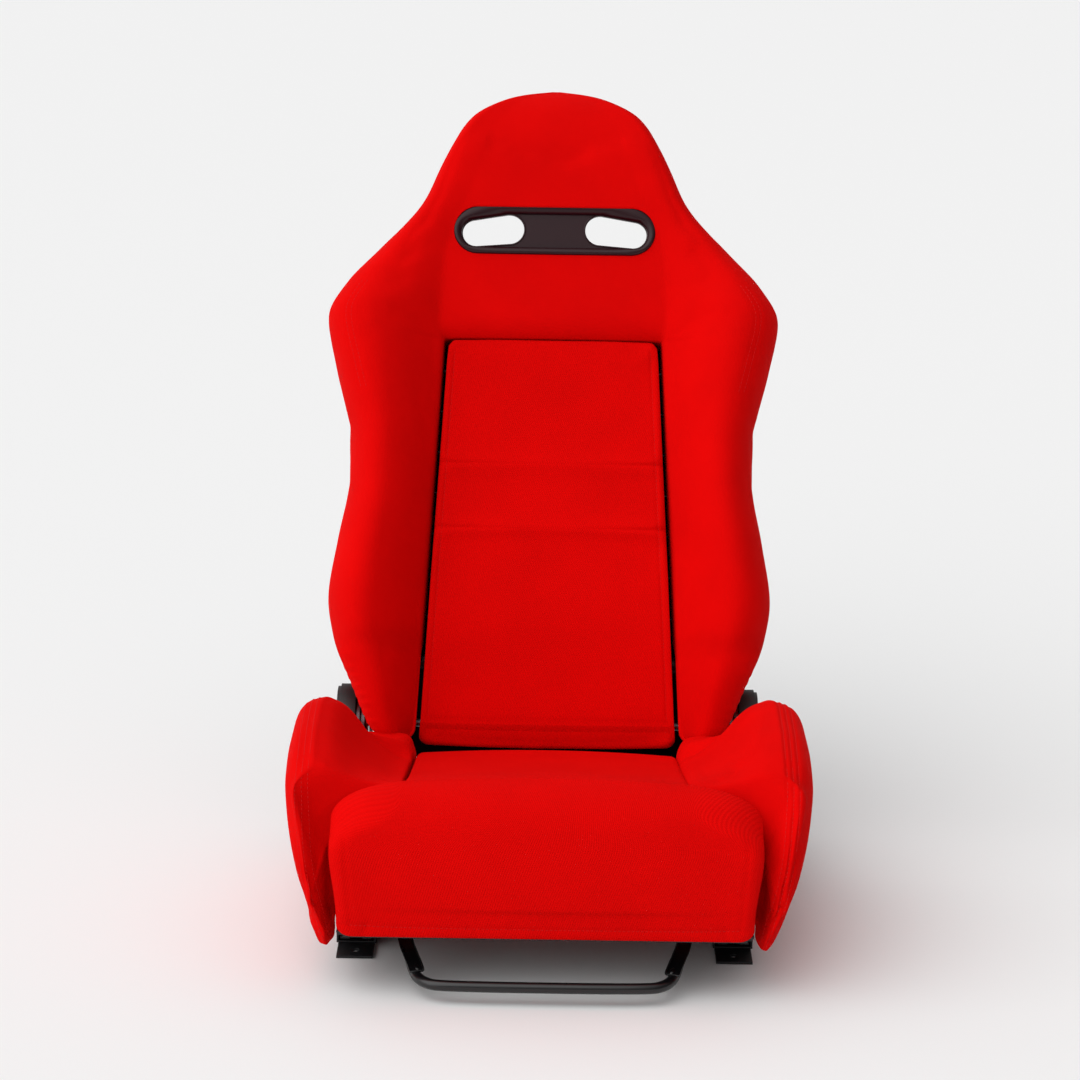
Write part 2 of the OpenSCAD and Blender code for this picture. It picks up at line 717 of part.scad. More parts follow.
lower_rail_left();
lower_rail_right();
rail_feet();
rail_balls();
ball_cages();
upper_rail_left();
upper_rail_right();
side_member_left();
side_member_right();
front_cross_tube();
rear_cross_tube();
front_pan();
front_edge_clip();
cushion_springs();
cushion_centre();
cushion_front_roll();
thigh_bolster_left();
thigh_bolster_right();
recliner_base_left();
recliner_base_right();
pivot_washers();
recliner_bolts();
rail_bolts();
hinge_cover_left();
hinge_cover_right();
cover_screws();
bar_pivot_pins();
pawl_pins();
slide_bar();
latch_plates();
bar_return_springs();
side_plate_left();
side_plate_right();
back_frame_hoop();
head_loop();
lower_back_tube();
back_wires();
back_insert();
wing_left();
wing_right();
head_pad();
back_panel();
belt_bezel_front();
belt_bezel_rear();
bezel_screws();
plate_rivets();
cross_rod();
recline_lever();
lever_grip();
lever_nut();
rod_clip();
cam_plates();
lever_return_spring();
pawl_left();
pawl_right();
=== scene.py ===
# %% [markdown]
# A reclining sports seat, drawn over its mechanical frame.
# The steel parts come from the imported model. The soft parts are drawn here as closed pads,
# swollen by a short cloth simulation between their seams, and finished with stitches.
# Lengths are metres. X runs across the seat, Y from front to back, Z up from the floor.

# %% Load the frame
import json, math
import bpy, bmesh
import numpy as np
from mathutils import Vector, Matrix
from mathutils.bvhtree import BVHTree


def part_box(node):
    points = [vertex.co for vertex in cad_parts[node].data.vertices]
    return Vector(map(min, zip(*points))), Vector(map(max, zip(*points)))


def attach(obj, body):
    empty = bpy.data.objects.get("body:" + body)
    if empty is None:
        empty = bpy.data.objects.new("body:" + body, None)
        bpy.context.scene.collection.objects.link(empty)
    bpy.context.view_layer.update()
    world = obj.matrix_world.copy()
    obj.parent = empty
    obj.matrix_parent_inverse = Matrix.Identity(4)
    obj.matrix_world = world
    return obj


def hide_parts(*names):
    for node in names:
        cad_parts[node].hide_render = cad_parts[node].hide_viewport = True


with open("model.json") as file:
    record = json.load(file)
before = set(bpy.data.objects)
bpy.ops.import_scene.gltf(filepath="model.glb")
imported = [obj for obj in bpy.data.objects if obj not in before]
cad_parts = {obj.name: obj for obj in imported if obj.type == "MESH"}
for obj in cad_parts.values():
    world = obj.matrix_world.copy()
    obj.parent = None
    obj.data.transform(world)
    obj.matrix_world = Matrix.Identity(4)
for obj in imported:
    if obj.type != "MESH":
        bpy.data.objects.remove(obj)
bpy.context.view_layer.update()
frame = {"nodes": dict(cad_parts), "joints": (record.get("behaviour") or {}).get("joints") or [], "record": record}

RECORD = frame["record"]
NODES = frame["nodes"]
JOINTS = {j["name"]: j for j in frame["joints"]}
SCENE = bpy.context.scene

# %% [markdown]
# Shapes are given by a few measured stations and a smooth curve through them.
# A monotone cubic never overshoots, so an outline stays inside what was measured.

# %% Curves through stations
def curve(stations):
    """A smooth function through (position, value) pairs."""
    t, y = (np.array(c, float) for c in zip(*stations))
    h, d = np.diff(t), np.diff(y) / np.diff(t)
    m = np.zeros(len(t))
    m[0], m[-1] = d[0], d[-1]
    for i in range(1, len(t) - 1):
        if d[i - 1] * d[i] > 0:
            a, b = 2 * h[i] + h[i - 1], h[i] + 2 * h[i - 1]
            m[i] = (a + b) / (a / d[i - 1] + b / d[i])
    def at(x):
        x = np.clip(np.asarray(x, float), t[0], t[-1])
        i = np.clip(np.searchsorted(t, x, side="right") - 1, 0, len(t) - 2)
        s = (x - t[i]) / h[i]
        return ((1 + 2 * s) * (1 - s) ** 2 * y[i] + s * (1 - s) ** 2 * h[i] * m[i]
                + s * s * (3 - 2 * s) * y[i + 1] + s * s * (s - 1) * h[i] * m[i + 1])
    return at


def spline(points, count, closed=False):
    """count points evenly spaced along a Catmull-Rom curve through the given ones."""
    p = np.array(points, float)
    if closed:
        p = np.vstack([p[-1:], p, p[:2]])
    else:
        p = np.vstack([2 * p[:1] - p[1:2], p, 2 * p[-1:] - p[-2:-1]])
    fine = []
    s = np.linspace(0, 1, 16, endpoint=False)[:, None]
    for a, b, c, d in zip(p, p[1:], p[2:], p[3:]):
        fine.append(0.5 * (2 * b + (c - a) * s + (2 * a - 5 * b + 4 * c - d) * s ** 2
                           + (3 * b - a - 3 * c + d) * s ** 3))
    fine = np.vstack(fine + [p[-2:-1]])
    run = np.concatenate([[0], np.cumsum(np.linalg.norm(np.diff(fine, axis=0), axis=1))])
    want = np.linspace(0, run[-1], count, endpoint=not closed)
    return np.stack([np.interp(want, run, fine[:, k]) for k in range(p.shape[1])], 1)


def mix(a, b, t):
    return a + (b - a) * t


def ease(t):
    t = np.clip(t, 0, 1)
    return t * t * (3 - 2 * t)

# %% [markdown]
# The backrest leans 20 degrees. Its parts are drawn in its own frame: x across, w forwards
# from the recliner axis and v up the back, then laid into the seat's frame by one function.

# %% The backrest's frame
HINGE = np.array(JOINTS["backrest_recline"]["pos_m"], float)
LEAN = math.radians(20)
UP = np.array([0, math.sin(LEAN), math.cos(LEAN)])
FORTH = np.array([0, -math.cos(LEAN), math.sin(LEAN)])


def back(x, w, v):
    """Points of the backrest's frame, in millimetres, as metres in the seat's frame."""
    x, w, v = np.broadcast_arrays(*(np.asarray(a, float) / 1000 for a in (x, w, v)))
    return HINGE + x[..., None] * np.array([1, 0, 0]) + w[..., None] * FORTH + v[..., None] * UP


def in_back(points):
    """The x, w and v of points, in millimetres: the other way round."""
    q = (points - HINGE) * 1000
    return q[:, 0], q @ FORTH, q @ UP

# %% [markdown]
# Small makers of meshes: one from points and faces, one from a grid of points, and one that
# applies whatever modifiers a piece has so that its shape stands in its vertices.

# %% Mesh makers
def mesh_object(name, points, faces, uv=None):
    mesh = bpy.data.meshes.new(name)
    mesh.from_pydata([tuple(p) for p in np.asarray(points, float)], [], [tuple(f) for f in faces])
    if uv is not None:
        layer = mesh.uv_layers.new(name="cloth")
        where = np.array([l.vertex_index for l in mesh.loops])
        layer.data.foreach_set("uv", np.asarray(uv, np.float32)[where].ravel())
    obj = bpy.data.objects.new(name, mesh)
    SCENE.collection.objects.link(obj)
    mesh.shade_smooth()
    return obj


def applied(obj):
    """Bakes the modifiers of obj into its mesh."""
    graph = bpy.context.evaluated_depsgraph_get()
    mesh = bpy.data.meshes.new_from_object(obj.evaluated_get(graph), depsgraph=graph)
    old = obj.data
    obj.modifiers.clear()
    obj.data = mesh
    bpy.data.meshes.remove(old)
    return obj


def tidy(obj, gap=2e-4):
    """Joins doubled points, drops empty faces and turns every face outwards."""
    bm = bmesh.new()
    bm.from_mesh(obj.data)
    bmesh.ops.remove_doubles(bm, verts=bm.verts, dist=gap)
    bmesh.ops.dissolve_degenerate(bm, edges=bm.edges, dist=gap / 4)
    bmesh.ops.recalc_face_normals(bm, faces=bm.faces)
    bm.to_mesh(obj.data)
    bm.free()
    obj.data.shade_smooth()
    return obj


def grid_faces(rows, cols, close_rows=False, close_cols=False, start=0):
    r = rows if close_rows else rows - 1
    c = cols if close_cols else cols - 1
    at = lambda i, j: start + (i % rows) * cols + j % cols
    return [(at(i, j), at(i, j + 1), at(i + 1, j + 1), at(i + 1, j)) for i in range(r) for j in range(c)]


def run_length(points, axis):
    """Distance walked along one axis of a grid of points."""
    step = np.linalg.norm(np.diff(points, axis=axis), axis=-1)
    pad = np.zeros_like(np.take(step, [0], axis=axis))
    return np.concatenate([pad, np.cumsum(step, axis=axis)], axis=axis)


def pipe(name, points, radius, sides=20, closed=False, caps=True):
    """A round bar along points."""
    p = np.asarray(points, float)
    way = np.gradient(p, axis=0)
    if closed:
        way = np.roll(p, -1, 0) - np.roll(p, 1, 0)
    way /= np.linalg.norm(way, axis=1)[:, None]
    side = np.cross(way[0], [0, 0, 1.0])
    if np.linalg.norm(side) < 1e-3:
        side = np.cross(way[0], [1.0, 0, 0])
    rings = []
    r = np.broadcast_to(radius, (len(p),))
    for q, d, rr in zip(p, way, r):
        side = side - d * (side @ d)
        side /= np.linalg.norm(side)
        other = np.cross(d, side)
        t = np.linspace(0, 2 * math.pi, sides, endpoint=False)[:, None]
        rings.append(q + rr * (np.cos(t) * side + np.sin(t) * other))
    faces = grid_faces(len(p), sides, close_rows=closed, close_cols=True)
    if caps and not closed:
        faces += [tuple(range(sides)), tuple(range((len(p) - 1) * sides, len(p) * sides))[::-1]]
    obj = mesh_object(name, np.vstack(rings), faces)
    return tidy(obj, 1e-5)

# %% [markdown]
# Finishes. One function turns a hex colour into linear light, and one adds a node with its
# settings and links, so that every material below reads as a short list.

# %% Material helpers
def hex_colour(text):
    c = [int(text[i:i + 2], 16) / 255 for i in (1, 3, 5)]
    return tuple(v / 12.92 if v <= 0.04045 else ((v + 0.055) / 1.055) ** 2.4 for v in c) + (1.0,)


def add(tree, kind, links=(), **settings):
    """Adds a node. links are (input, socket) pairs and settings are its properties or inputs."""
    node = tree.nodes.new(kind)
    for key, value in settings.items():
        if hasattr(node, key):
            setattr(node, key, value)
        else:
            node.inputs[key.replace("_", " ")].default_value = value
    for name, socket in links:
        tree.links.new(socket, node.inputs[name])
    return node


def surface(name, colour, roughness, metallic=0.0, **inputs):
    """A new material with a Principled surface; returns it, its tree and the surface node."""
    material = bpy.data.materials.new(name)
    material.use_nodes = True
    tree = material.node_tree
    shader = tree.nodes["Principled BSDF"]
    shader.inputs["Base Color"].default_value = hex_colour(colour)
    shader.inputs["Roughness"].default_value = roughness
    shader.inputs["Metallic"].default_value = metallic
    for key, value in inputs.items():
        shader.inputs[key.replace("_", " ")].default_value = value
    return material, tree, shader


def bump(tree, shader, height, distance, strength=1.0):
    node = add(tree, "ShaderNodeBump", [("Height", height)], Distance=distance, Strength=strength)
    tree.links.new(node.outputs["Normal"], shader.inputs["Normal"])


def maths(tree, operation, a, b=0.0, c=None):
    node = tree.nodes.new("ShaderNodeMath")
    node.operation = operation
    for socket, value in zip(node.inputs, (a, b, c)):
        if value is None:
            continue
        if isinstance(value, (int, float)):
            socket.default_value = value
        else:
            tree.links.new(value, socket)
    return node.outputs[0]

# %% Cloth and hard finishes
RED = "#F00504"
RED_DARK = "#CA0302"


def cloth(name, colour, dark, pitch_u, pitch_v, depth, roughness=0.9, twill=0.0, sheen=0.22, tint="#FF1408"):
    """Woven cloth. pitch_u and pitch_v are the thread spacings in metres, twill slants the rib."""
    m, tree, shader = surface(name, colour, roughness, Sheen_Weight=sheen, Sheen_Roughness=0.4,
                              Specular_IOR_Level=0.04)
    shader.inputs["Sheen Tint"].default_value = hex_colour(tint)
    uv = add(tree, "ShaderNodeUVMap", uv_map="cloth")
    part = add(tree, "ShaderNodeSeparateXYZ", [("Vector", uv.outputs["UV"])])
    u, v = part.outputs["X"], part.outputs["Y"]
    slant = maths(tree, "MULTIPLY_ADD", v, twill, u)
    rib = maths(tree, "SINE", maths(tree, "MULTIPLY", slant, 2 * math.pi / pitch_u))
    weft = maths(tree, "SINE", maths(tree, "MULTIPLY", v, 2 * math.pi / pitch_v))
    weave = maths(tree, "MULTIPLY_ADD", rib, 0.6, maths(tree, "MULTIPLY", maths(tree, "MULTIPLY", rib, weft), 0.6))
    place = add(tree, "ShaderNodeTexCoord")
    grain = add(tree, "ShaderNodeTexNoise", [("Vector", place.outputs["Object"])], Scale=900.0, Detail=2.0)
    cloudy = add(tree, "ShaderNodeTexNoise", [("Vector", place.outputs["Object"])], Scale=14.0, Detail=3.0)
    height = maths(tree, "MULTIPLY_ADD", grain.outputs["Fac"], 0.8, weave)
    bump(tree, shader, height, depth, 0.55)
    tone = maths(tree, "MULTIPLY_ADD", weave, 0.16, maths(tree, "MULTIPLY_ADD", cloudy.outputs["Fac"], 0.5, 0.22))
    blend = add(tree, "ShaderNodeMix", [("Factor", tone)], data_type="RGBA")
    blend.inputs[6].default_value = hex_colour(dark)
    blend.inputs[7].default_value = hex_colour(colour)
    tree.links.new(blend.outputs[2], shader.inputs["Base Color"])
    return m


def speckled(name, colour, roughness, scale, depth, metallic=0.0, spread=0.08, **inputs):
    """A hard finish with a fine grain and slightly uneven gloss."""
    m, tree, shader = surface(name, colour, roughness, metallic, **inputs)
    place = add(tree, "ShaderNodeTexCoord")
    grain = add(tree, "ShaderNodeTexNoise", [("Vector", place.outputs["Object"])], Scale=scale, Detail=3.0)
    worn = add(tree, "ShaderNodeTexNoise", [("Vector", place.outputs["Object"])], Scale=25.0, Detail=4.0)
    bump(tree, shader, grain.outputs["Fac"], depth, 0.5)
    gloss = maths(tree, "MULTIPLY_ADD", worn.outputs["Fac"], 2 * spread, roughness - spread)
    tree.links.new(gloss, shader.inputs["Roughness"])
    return m


MATERIALS = {
    "rib_cloth": cloth("Ribbed seat cloth", RED, RED_DARK, 0.0026, 0.0021, 0.00045, twill=0.35),
    "knit_cloth": cloth("Smooth knit cloth", RED, "#C60202", 0.0012, 0.0016, 0.00018),
    "black_steel": speckled("Black painted steel", "#141315", 0.42, 900.0, 0.00004),
    "bar_gloss": speckled("Gloss black bar", "#0B090B", 0.3, 500.0, 0.00002, Coat_Weight=0.15, Coat_Roughness=0.15),
    "zinc_steel": speckled("Bright zinc", "#B4B4B8", 0.3, 700.0, 0.00003, metallic=1.0),
    "plate_steel": speckled("Oiled bare steel", "#7A7A7E", 0.38, 600.0, 0.00004, metallic=1.0),
    "spring_steel": speckled("Blackened spring wire", "#3A3A3C", 0.4, 600.0, 0.00003, metallic=1.0),
    "ball_steel": speckled("Polished balls", "#D8D8DA", 0.12, 300.0, 0.00001, metallic=1.0, spread=0.03),
    "cage_plastic": speckled("Natural nylon", "#D9D5C4", 0.5, 500.0, 0.00004, Subsurface_Weight=0.1),
    "trim_plastic": speckled("Fine-grained black trim", "#161314", 0.5, 1400.0, 0.00009),
    "bezel_plastic": speckled("Satin brown-black moulding", "#26070F", 0.34, 1600.0, 0.00006, Specular_IOR_Level=0.3),
    "rear_cloth": cloth("Coarse black cloth", "#1A1A1C", "#0C0C0D", 0.0018, 0.0018, 0.0003, tint="#9A9A9A"),
}
THREAD = speckled("Red sewing thread", "#D00404", 0.95, 900.0, 0.00005)
print("materials:", len(MATERIALS) + 1)

# %% [markdown]
# The soft parts. Each starts as a closed pad a little smaller than the real one, is swollen by a
# cloth simulation that holds its seams still, and is then subdivided once. The grid of each pad
# carries its cloth coordinates in metres, so that a weave keeps its real thread spacing.

# %% Swelling a pad
def puff(obj, pinned, cap, pressure=4.0, frames=20):
    """Swells obj by cloth simulation: pinned vertices stay, the rest move outwards, none further than cap."""
    count = len(obj.data.vertices)
    rest = np.empty(count * 3)
    obj.data.vertices.foreach_get("co", rest)
    rest = rest.reshape(-1, 3)
    outwards = np.array([v.normal for v in obj.data.vertices])
    group = obj.vertex_groups.new(name="sewn down")
    group.add([int(i) for i in pinned], 1.0, "REPLACE")
    modifier = obj.modifiers.new("Swell", "CLOTH")
    s = modifier.settings
    s.quality = 5
    s.mass = 0.25
    s.tension_stiffness = s.compression_stiffness = 18
    s.bending_stiffness = 1.2
    s.use_pressure = True
    s.uniform_pressure_force = pressure
    s.vertex_group_mass = "sewn down"
    s.effector_weights.gravity = 0
    modifier.collision_settings.use_collision = False
    for f in range(1, frames + 1):
        SCENE.frame_set(f)
    graph = bpy.context.evaluated_depsgraph_get()
    swollen = np.empty(count * 3)
    obj.evaluated_get(graph).data.vertices.foreach_get("co", swollen)
    far = np.maximum(((swollen.reshape(-1, 3) - rest) * outwards).sum(1), 0)
    move = outwards * (cap * np.tanh(far / cap))[:, None]
    rest = rest + move
    obj.modifiers.clear()
    obj.vertex_groups.clear()
    SCENE.frame_set(1)
    obj.data.vertices.foreach_set("co", rest.ravel())
    obj.data.update()
    print(f"{obj.name}: swollen by up to {1000 * np.linalg.norm(move, axis=1).max():.1f} mm")
    return rest


def finer(obj, levels=1):
    """Subdivides a pad and stores the result."""
    m = obj.modifiers.new("Finer", "SUBSURF")
    m.levels = m.render_levels = levels
    return applied(obj)


def sew(obj, depth):
    """Presses seams into a pad: depth(points, normals) says how far each point goes in, in mm."""
    count = len(obj.data.vertices)
    points, normals = np.empty(count * 3), np.empty(count * 3)
    obj.data.vertices.foreach_get("co", points)
    obj.data.vertices.foreach_get("normal", normals)
    points, normals = points.reshape(-1, 3), normals.reshape(-1, 3)
    points -= normals * depth(points, normals)[:, None] / 1000
    obj.data.vertices.foreach_set("co", points.ravel())
    obj.data.update()


def groove(off_line, width=1.8):
    """A rounded furrow, 1 deep on the line and fading out to its sides."""
    return np.exp(-(off_line / width) ** 2)


def between(value, low, high, soft=15.0):
    """1 inside a range and 0 outside it, with soft ends."""
    return ease((value - low) / soft) * ease((high - value) / soft)


def landed(obj, points, toward, reach=0.06):
    """Where each point lands on a pad when it is thrown at it along toward."""
    tree = BVHTree.FromObject(obj, bpy.context.evaluated_depsgraph_get())
    way = Vector(toward).normalized()
    hits = [tree.ray_cast(Vector(p) - way * reach, way, 2 * reach)[0] for p in points]
    return np.array([tuple(h) for h in hits if h is not None])


def dress(obj, body, material, slot, *nodes, fill=0.9):
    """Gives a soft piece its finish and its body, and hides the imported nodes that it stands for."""
    obj.data.materials.clear()
    obj.data.materials.append(MATERIALS[material])
    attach(obj, body)
    if nodes:
        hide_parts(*nodes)
    return obj

# %% [markdown]
# The outer cover of the backrest is one piece: two wings that grow into the shoulders, and the
# head above them. A ring of points is drawn for the wings at each height and another for the
# head, and they share their points where they meet, at the top of the centre panel.

# %% Stations of the backrest, in millimetres
TOP_OF_INSERT = 465.0
HALF = curve([(-24, 197), (-14, 207), (0, 215), (40, 231), (74, 246), (100, 256), (145, 263.5), (215, 253),
              (293, 240), (350, 241.5), (375, 247), (430, 261), (488, 272.5), (532, 251), (577, 210),
              (636, 160), (680, 140), (706, 127), (742, 104), (762, 72), (774, 38), (779.5, 4)])
CREST = curve([(-24, 78), (0, 88), (60, 108), (130, 117), (215, 108), (300, 93), (380, 88), (450, 91),
               (500, 84), (540, 66), (576, 50), (620, 41), (700, 39), (742, 29), (766, 12), (779.5, -10)])
MIDDLE = curve([(460, 35), (560, 33), (640, 37), (700, 38), (742, 28), (766, 11), (779.5, -11)])
REAR = curve([(577, -46), (700, -46), (742, -40), (766, -28), (779.5, -13)])
LIP = curve([(-24, 44), (20, 50), (110, 54), (200, 45), (330, 35), (465, 34)])
SEAM_X = curve([(465, 131.5), (560, 129), (597, 123), (640, 102), (700, 82), (742, 62), (766, 36), (779.5, 2)])
LEAN_OUT = curve([(-24, 0.6), (215, 0.64), (450, 0.64), (560, 0.7), (700, 0.74), (779.5, 0.6)])


def insert_half(v):
    return mix(154.0, 128.0, (np.asarray(v, float) + 20) / 485)


def wing_inner(v):
    return insert_half(v) + 3.5 if v <= TOP_OF_INSERT else float(SEAM_X(v))


def wing_section(v, count):
    """From the groove beside the centre panel, over the crest, to the rear edge: (x, w) points."""
    inner, out, crest = wing_inner(v), float(HALF(v)), float(CREST(v))
    rear = mix(48.0, float(REAR(v)), float(ease((v - 76) / 34)))
    lip = float(LIP(v)) if v <= TOP_OF_INSERT else float(MIDDLE(v))
    roll = 1 - ease((v - TOP_OF_INSERT) / 10) if v > TOP_OF_INSERT else 1.0
    width, top_x = out - inner, mix(inner, out, float(LEAN_OUT(v)))
    deep = 0.44 * (crest - rear)
    points = [(inner, lip - 10 * roll), (inner + 0.02 * width, lip - 2 * roll), (inner + 0.1 * width, mix(lip, crest, 0.10)),
              (mix(inner, top_x, 0.5), mix(lip, crest, 0.62)), (mix(inner, top_x, 0.78), mix(lip, crest, 0.92))]
    for a in (0, 22, 45, 68, 90):
        s, c = math.sin(math.radians(a)), math.cos(math.radians(a))
        points.append((top_x + (out - top_x) * s, crest - deep * (1 - c)))
    under = crest - deep
    points += [(out - 0.5, mix(under, rear, 0.5)), (out - 4, mix(under, rear, 0.85)), (out - 11, rear)]
    points = np.array(points)
    if v < -9:
        round_off = math.sqrt(max(0.02, 1 - ((v + 9) / -16.0) ** 2))
        heart = np.array([mix(inner, out, 0.5), mix(rear, crest, 0.4)])
        points = heart + (points - heart) * round_off
    return spline(points, count)

# %% Cover of wings, shoulders and head
FRONT, WALL, BACKRUN, MID = 40, 8, 8, 36
LOW_ROWS = np.concatenate([[-24.5, -22, -18, -12, -6], np.arange(0, 70, 7), [70, 75.5, 76.5, 82],
                           np.arange(90, 460, 7.5), [460, TOP_OF_INSERT]])
HIGH_ROWS = np.concatenate([[TOP_OF_INSERT, 467, 471, 477], np.arange(485, 740, 7.5),
                            [742, 748, 754, 759, 764, 768, 771.5, 774.5, 777, 778.6, 779.4]])


def wing_ring(v):
    """Closed ring of one wing: the section, then the back, then up the wall of the groove."""
    front = wing_section(v, FRONT)
    inner = front[0]
    rear_w = front[-1][1]
    corner = np.array([inner[0], rear_w])
    backrun = np.linspace(front[-1], corner, BACKRUN + 1)[1:]
    wall = np.linspace(corner, inner, WALL + 1)[1:-1]
    return np.vstack([front, backrun, wall])


def head_ring(v):
    """Closed ring across the whole head: left section, middle, right section, then the back."""
    right = wing_section(v, FRONT)
    x0, roll = right[0][0], 1 - ease((v - TOP_OF_INSERT) / 10)
    t = np.linspace(-1, 1, MID + 1)[1:-1]
    dip = 0.6 * (1 - t ** 2)
    middle = np.stack([t * x0, np.full(len(t), right[0][1]) + dip * (1 - roll)], 1)
    left = right[::-1] * [-1, 1]
    rear_w = right[-1][1]
    corner = np.array([x0, rear_w])
    run = np.linspace(right[-1], corner, BACKRUN + 1)[1:]
    back_mid = np.stack([-t * x0, np.full(len(t), rear_w)], 1)
    other = np.linspace(corner * [-1, 1], right[-1] * [-1, 1], BACKRUN + 1)[:-1]
    return np.vstack([left, middle, right, run, back_mid, other])


def sheet_points(rings, heights, side=1):
    return np.stack([back(side * r[:, 0], r[:, 1], v) for r, v in zip(rings, heights)])


def cover_parts():
    points, faces, uv, pinned = [], [], [], []
    def put(grid, close_cols, pin=None):
        start = sum(len(p) for p in points)
        rows, cols = grid.shape[:2]
        points.append(grid.reshape(-1, 3))
        across = run_length(grid, 1)
        across = across - across[:, cols // 2:cols // 2 + 1]
        along = run_length(grid, 0).mean(axis=1, keepdims=True) + 0 * across
        uv.append(np.stack([across, along], 2).reshape(-1, 2))
        faces.extend(grid_faces(rows, cols, close_cols=close_cols, start=start))
        return start, rows, cols
    rings = [wing_ring(v) for v in LOW_ROWS]
    for side in (1, -1):
        start, rows, cols = put(sheet_points(rings, LOW_ROWS, side), True)
        faces.append(tuple(range(start, start + cols)))
        held = [start + i * cols + j for i in range(rows) for j in list(range(0, 2)) + list(range(FRONT - 2, cols))]
        pinned += held
    start, rows, cols = put(sheet_points([head_ring(v) for v in HIGH_ROWS], HIGH_ROWS), True)
    faces.append(tuple(range(start + (rows - 1) * cols, start + rows * cols)))
    front_count = 2 * FRONT + MID - 1
    pinned += [start + i * cols + j for i in range(rows) for j in range(front_count - 1, cols)]
    pinned += [start + i * cols for i in range(rows)]
    pinned += [start + j for j in range(cols)]
    x0, w0 = wing_section(TOP_OF_INSERT, FRONT)[0]
    rear_w = wing_section(TOP_OF_INSERT, FRONT)[-1][1]
    xs = np.linspace(-x0, x0, MID + 1)
    ceiling = np.stack([back(xs, np.full(len(xs), w), TOP_OF_INSERT) for w in np.linspace(rear_w, w0, WALL + 1)])
    start, rows, cols = put(ceiling, False)
    pinned += list(range(start, start + rows * cols))
    return np.vstack(points), faces, np.vstack(uv), pinned


cover_points, cover_faces, cover_uv, cover_pins = cover_parts()
cover = mesh_object("backrest_cover", cover_points, cover_faces, cover_uv)
pin_tree_points = cover_points[cover_pins]
tidy(cover, 3e-4)
co = np.array([v.co for v in cover.data.vertices])


def same_places(co, wanted):
    """Indices of the points of co that lie on one of the wanted places."""
    key = lambda a: set(map(tuple, np.round(a * 2000).astype(int)))
    want = key(wanted)
    return [i for i, p in enumerate(np.round(co * 2000).astype(int)) if tuple(p) in want]


puff(cover, same_places(co, pin_tree_points), 0.004, pressure=3.0)
finer(cover)
print("cover:", len(cover.data.polygons), "faces")

# %% [markdown]
# The belt slots pass right through, so the cover is cut by the outline of the moulding that
# lines them. The cut is a boolean: a stadium-shaped prism taken out of the closed pad.

# %% Opening for the belt slots
SLOT_V = 597.0


def stadium(reach, r, count=72, arch=0.0):
    """Outline of a slot with round ends, in the backrest's x and v about its middle."""
    points = []
    for k in range(count):
        a = 2 * math.pi * (k + 0.5) / count
        c, s = math.cos(a), math.sin(a)
        points.append((math.copysign(reach, c) + r * c, r * s))
    points = np.array(points)
    flat = []
    for i, p in enumerate(points):
        q = points[(i + 1) % count]
        flat.append(p)
        if abs(q[0] - p[0]) > reach:
            flat += [p + (q - p) * t for t in np.linspace(0, 1, 25)[1:-1]]
    out = np.array(flat)
    out[:, 1] += arch * np.sign(out[:, 1]) * (1 - np.clip(out[:, 0] / (reach + r), -1, 1) ** 2)
    return out


outline = stadium(93, 28.4)
RISE = math.tan(math.radians(7))
FACE_W = 36.4


def passage(x, w, v):
    """A point about the middle of the belt passage, which rises towards the rear."""
    return back(x, w, SLOT_V + v + (FACE_W - w) * RISE)


prism = mesh_object("slot_cutter", np.vstack([passage(outline[:, 0], np.full(len(outline), w), outline[:, 1])
                                               for w in (-80, 80)]),
                    grid_faces(2, len(outline), close_cols=True)
                    + [tuple(range(len(outline))), tuple(range(len(outline), 2 * len(outline)))[::-1]])
tidy(prism)
cut = cover.modifiers.new("Belt slots", "BOOLEAN")
cut.object, cut.operation, cut.solver = prism, "DIFFERENCE", "EXACT"
applied(cover)
bpy.data.objects.remove(prism)
cover.data.shade_smooth()
WING_STITCH = (24.0, 30.5)


def cover_seams(points, normals):
    """A double topstitch inside each shoulder's edge, and puckers where the wings end."""
    x, w, v = in_back(points)
    front = ease((normals @ FORTH + 0.1) / 0.3)
    inside = HALF(v) - np.abs(x)
    double = sum(groove(inside - k, 2.0) for k in WING_STITCH) * between(v, 388, 540, 22) * front
    pucker = 0.9 * np.sin(2 * math.pi * v / 10.5) * np.exp(-((inside - 6) / 8) ** 2) * between(v, -16, 72, 12)
    return 0.8 * double + pucker


sew(cover, cover_seams)
dress(cover, "backrest", "knit_cloth", "knit_cloth", "wing_left", "wing_right", "head_pad", fill=0.95)

# %% [markdown]
# A cushion is a closed profile swept across the seat. Towards each end the profile shrinks
# along short lines to its own core, which rounds the corners and closes the sides.

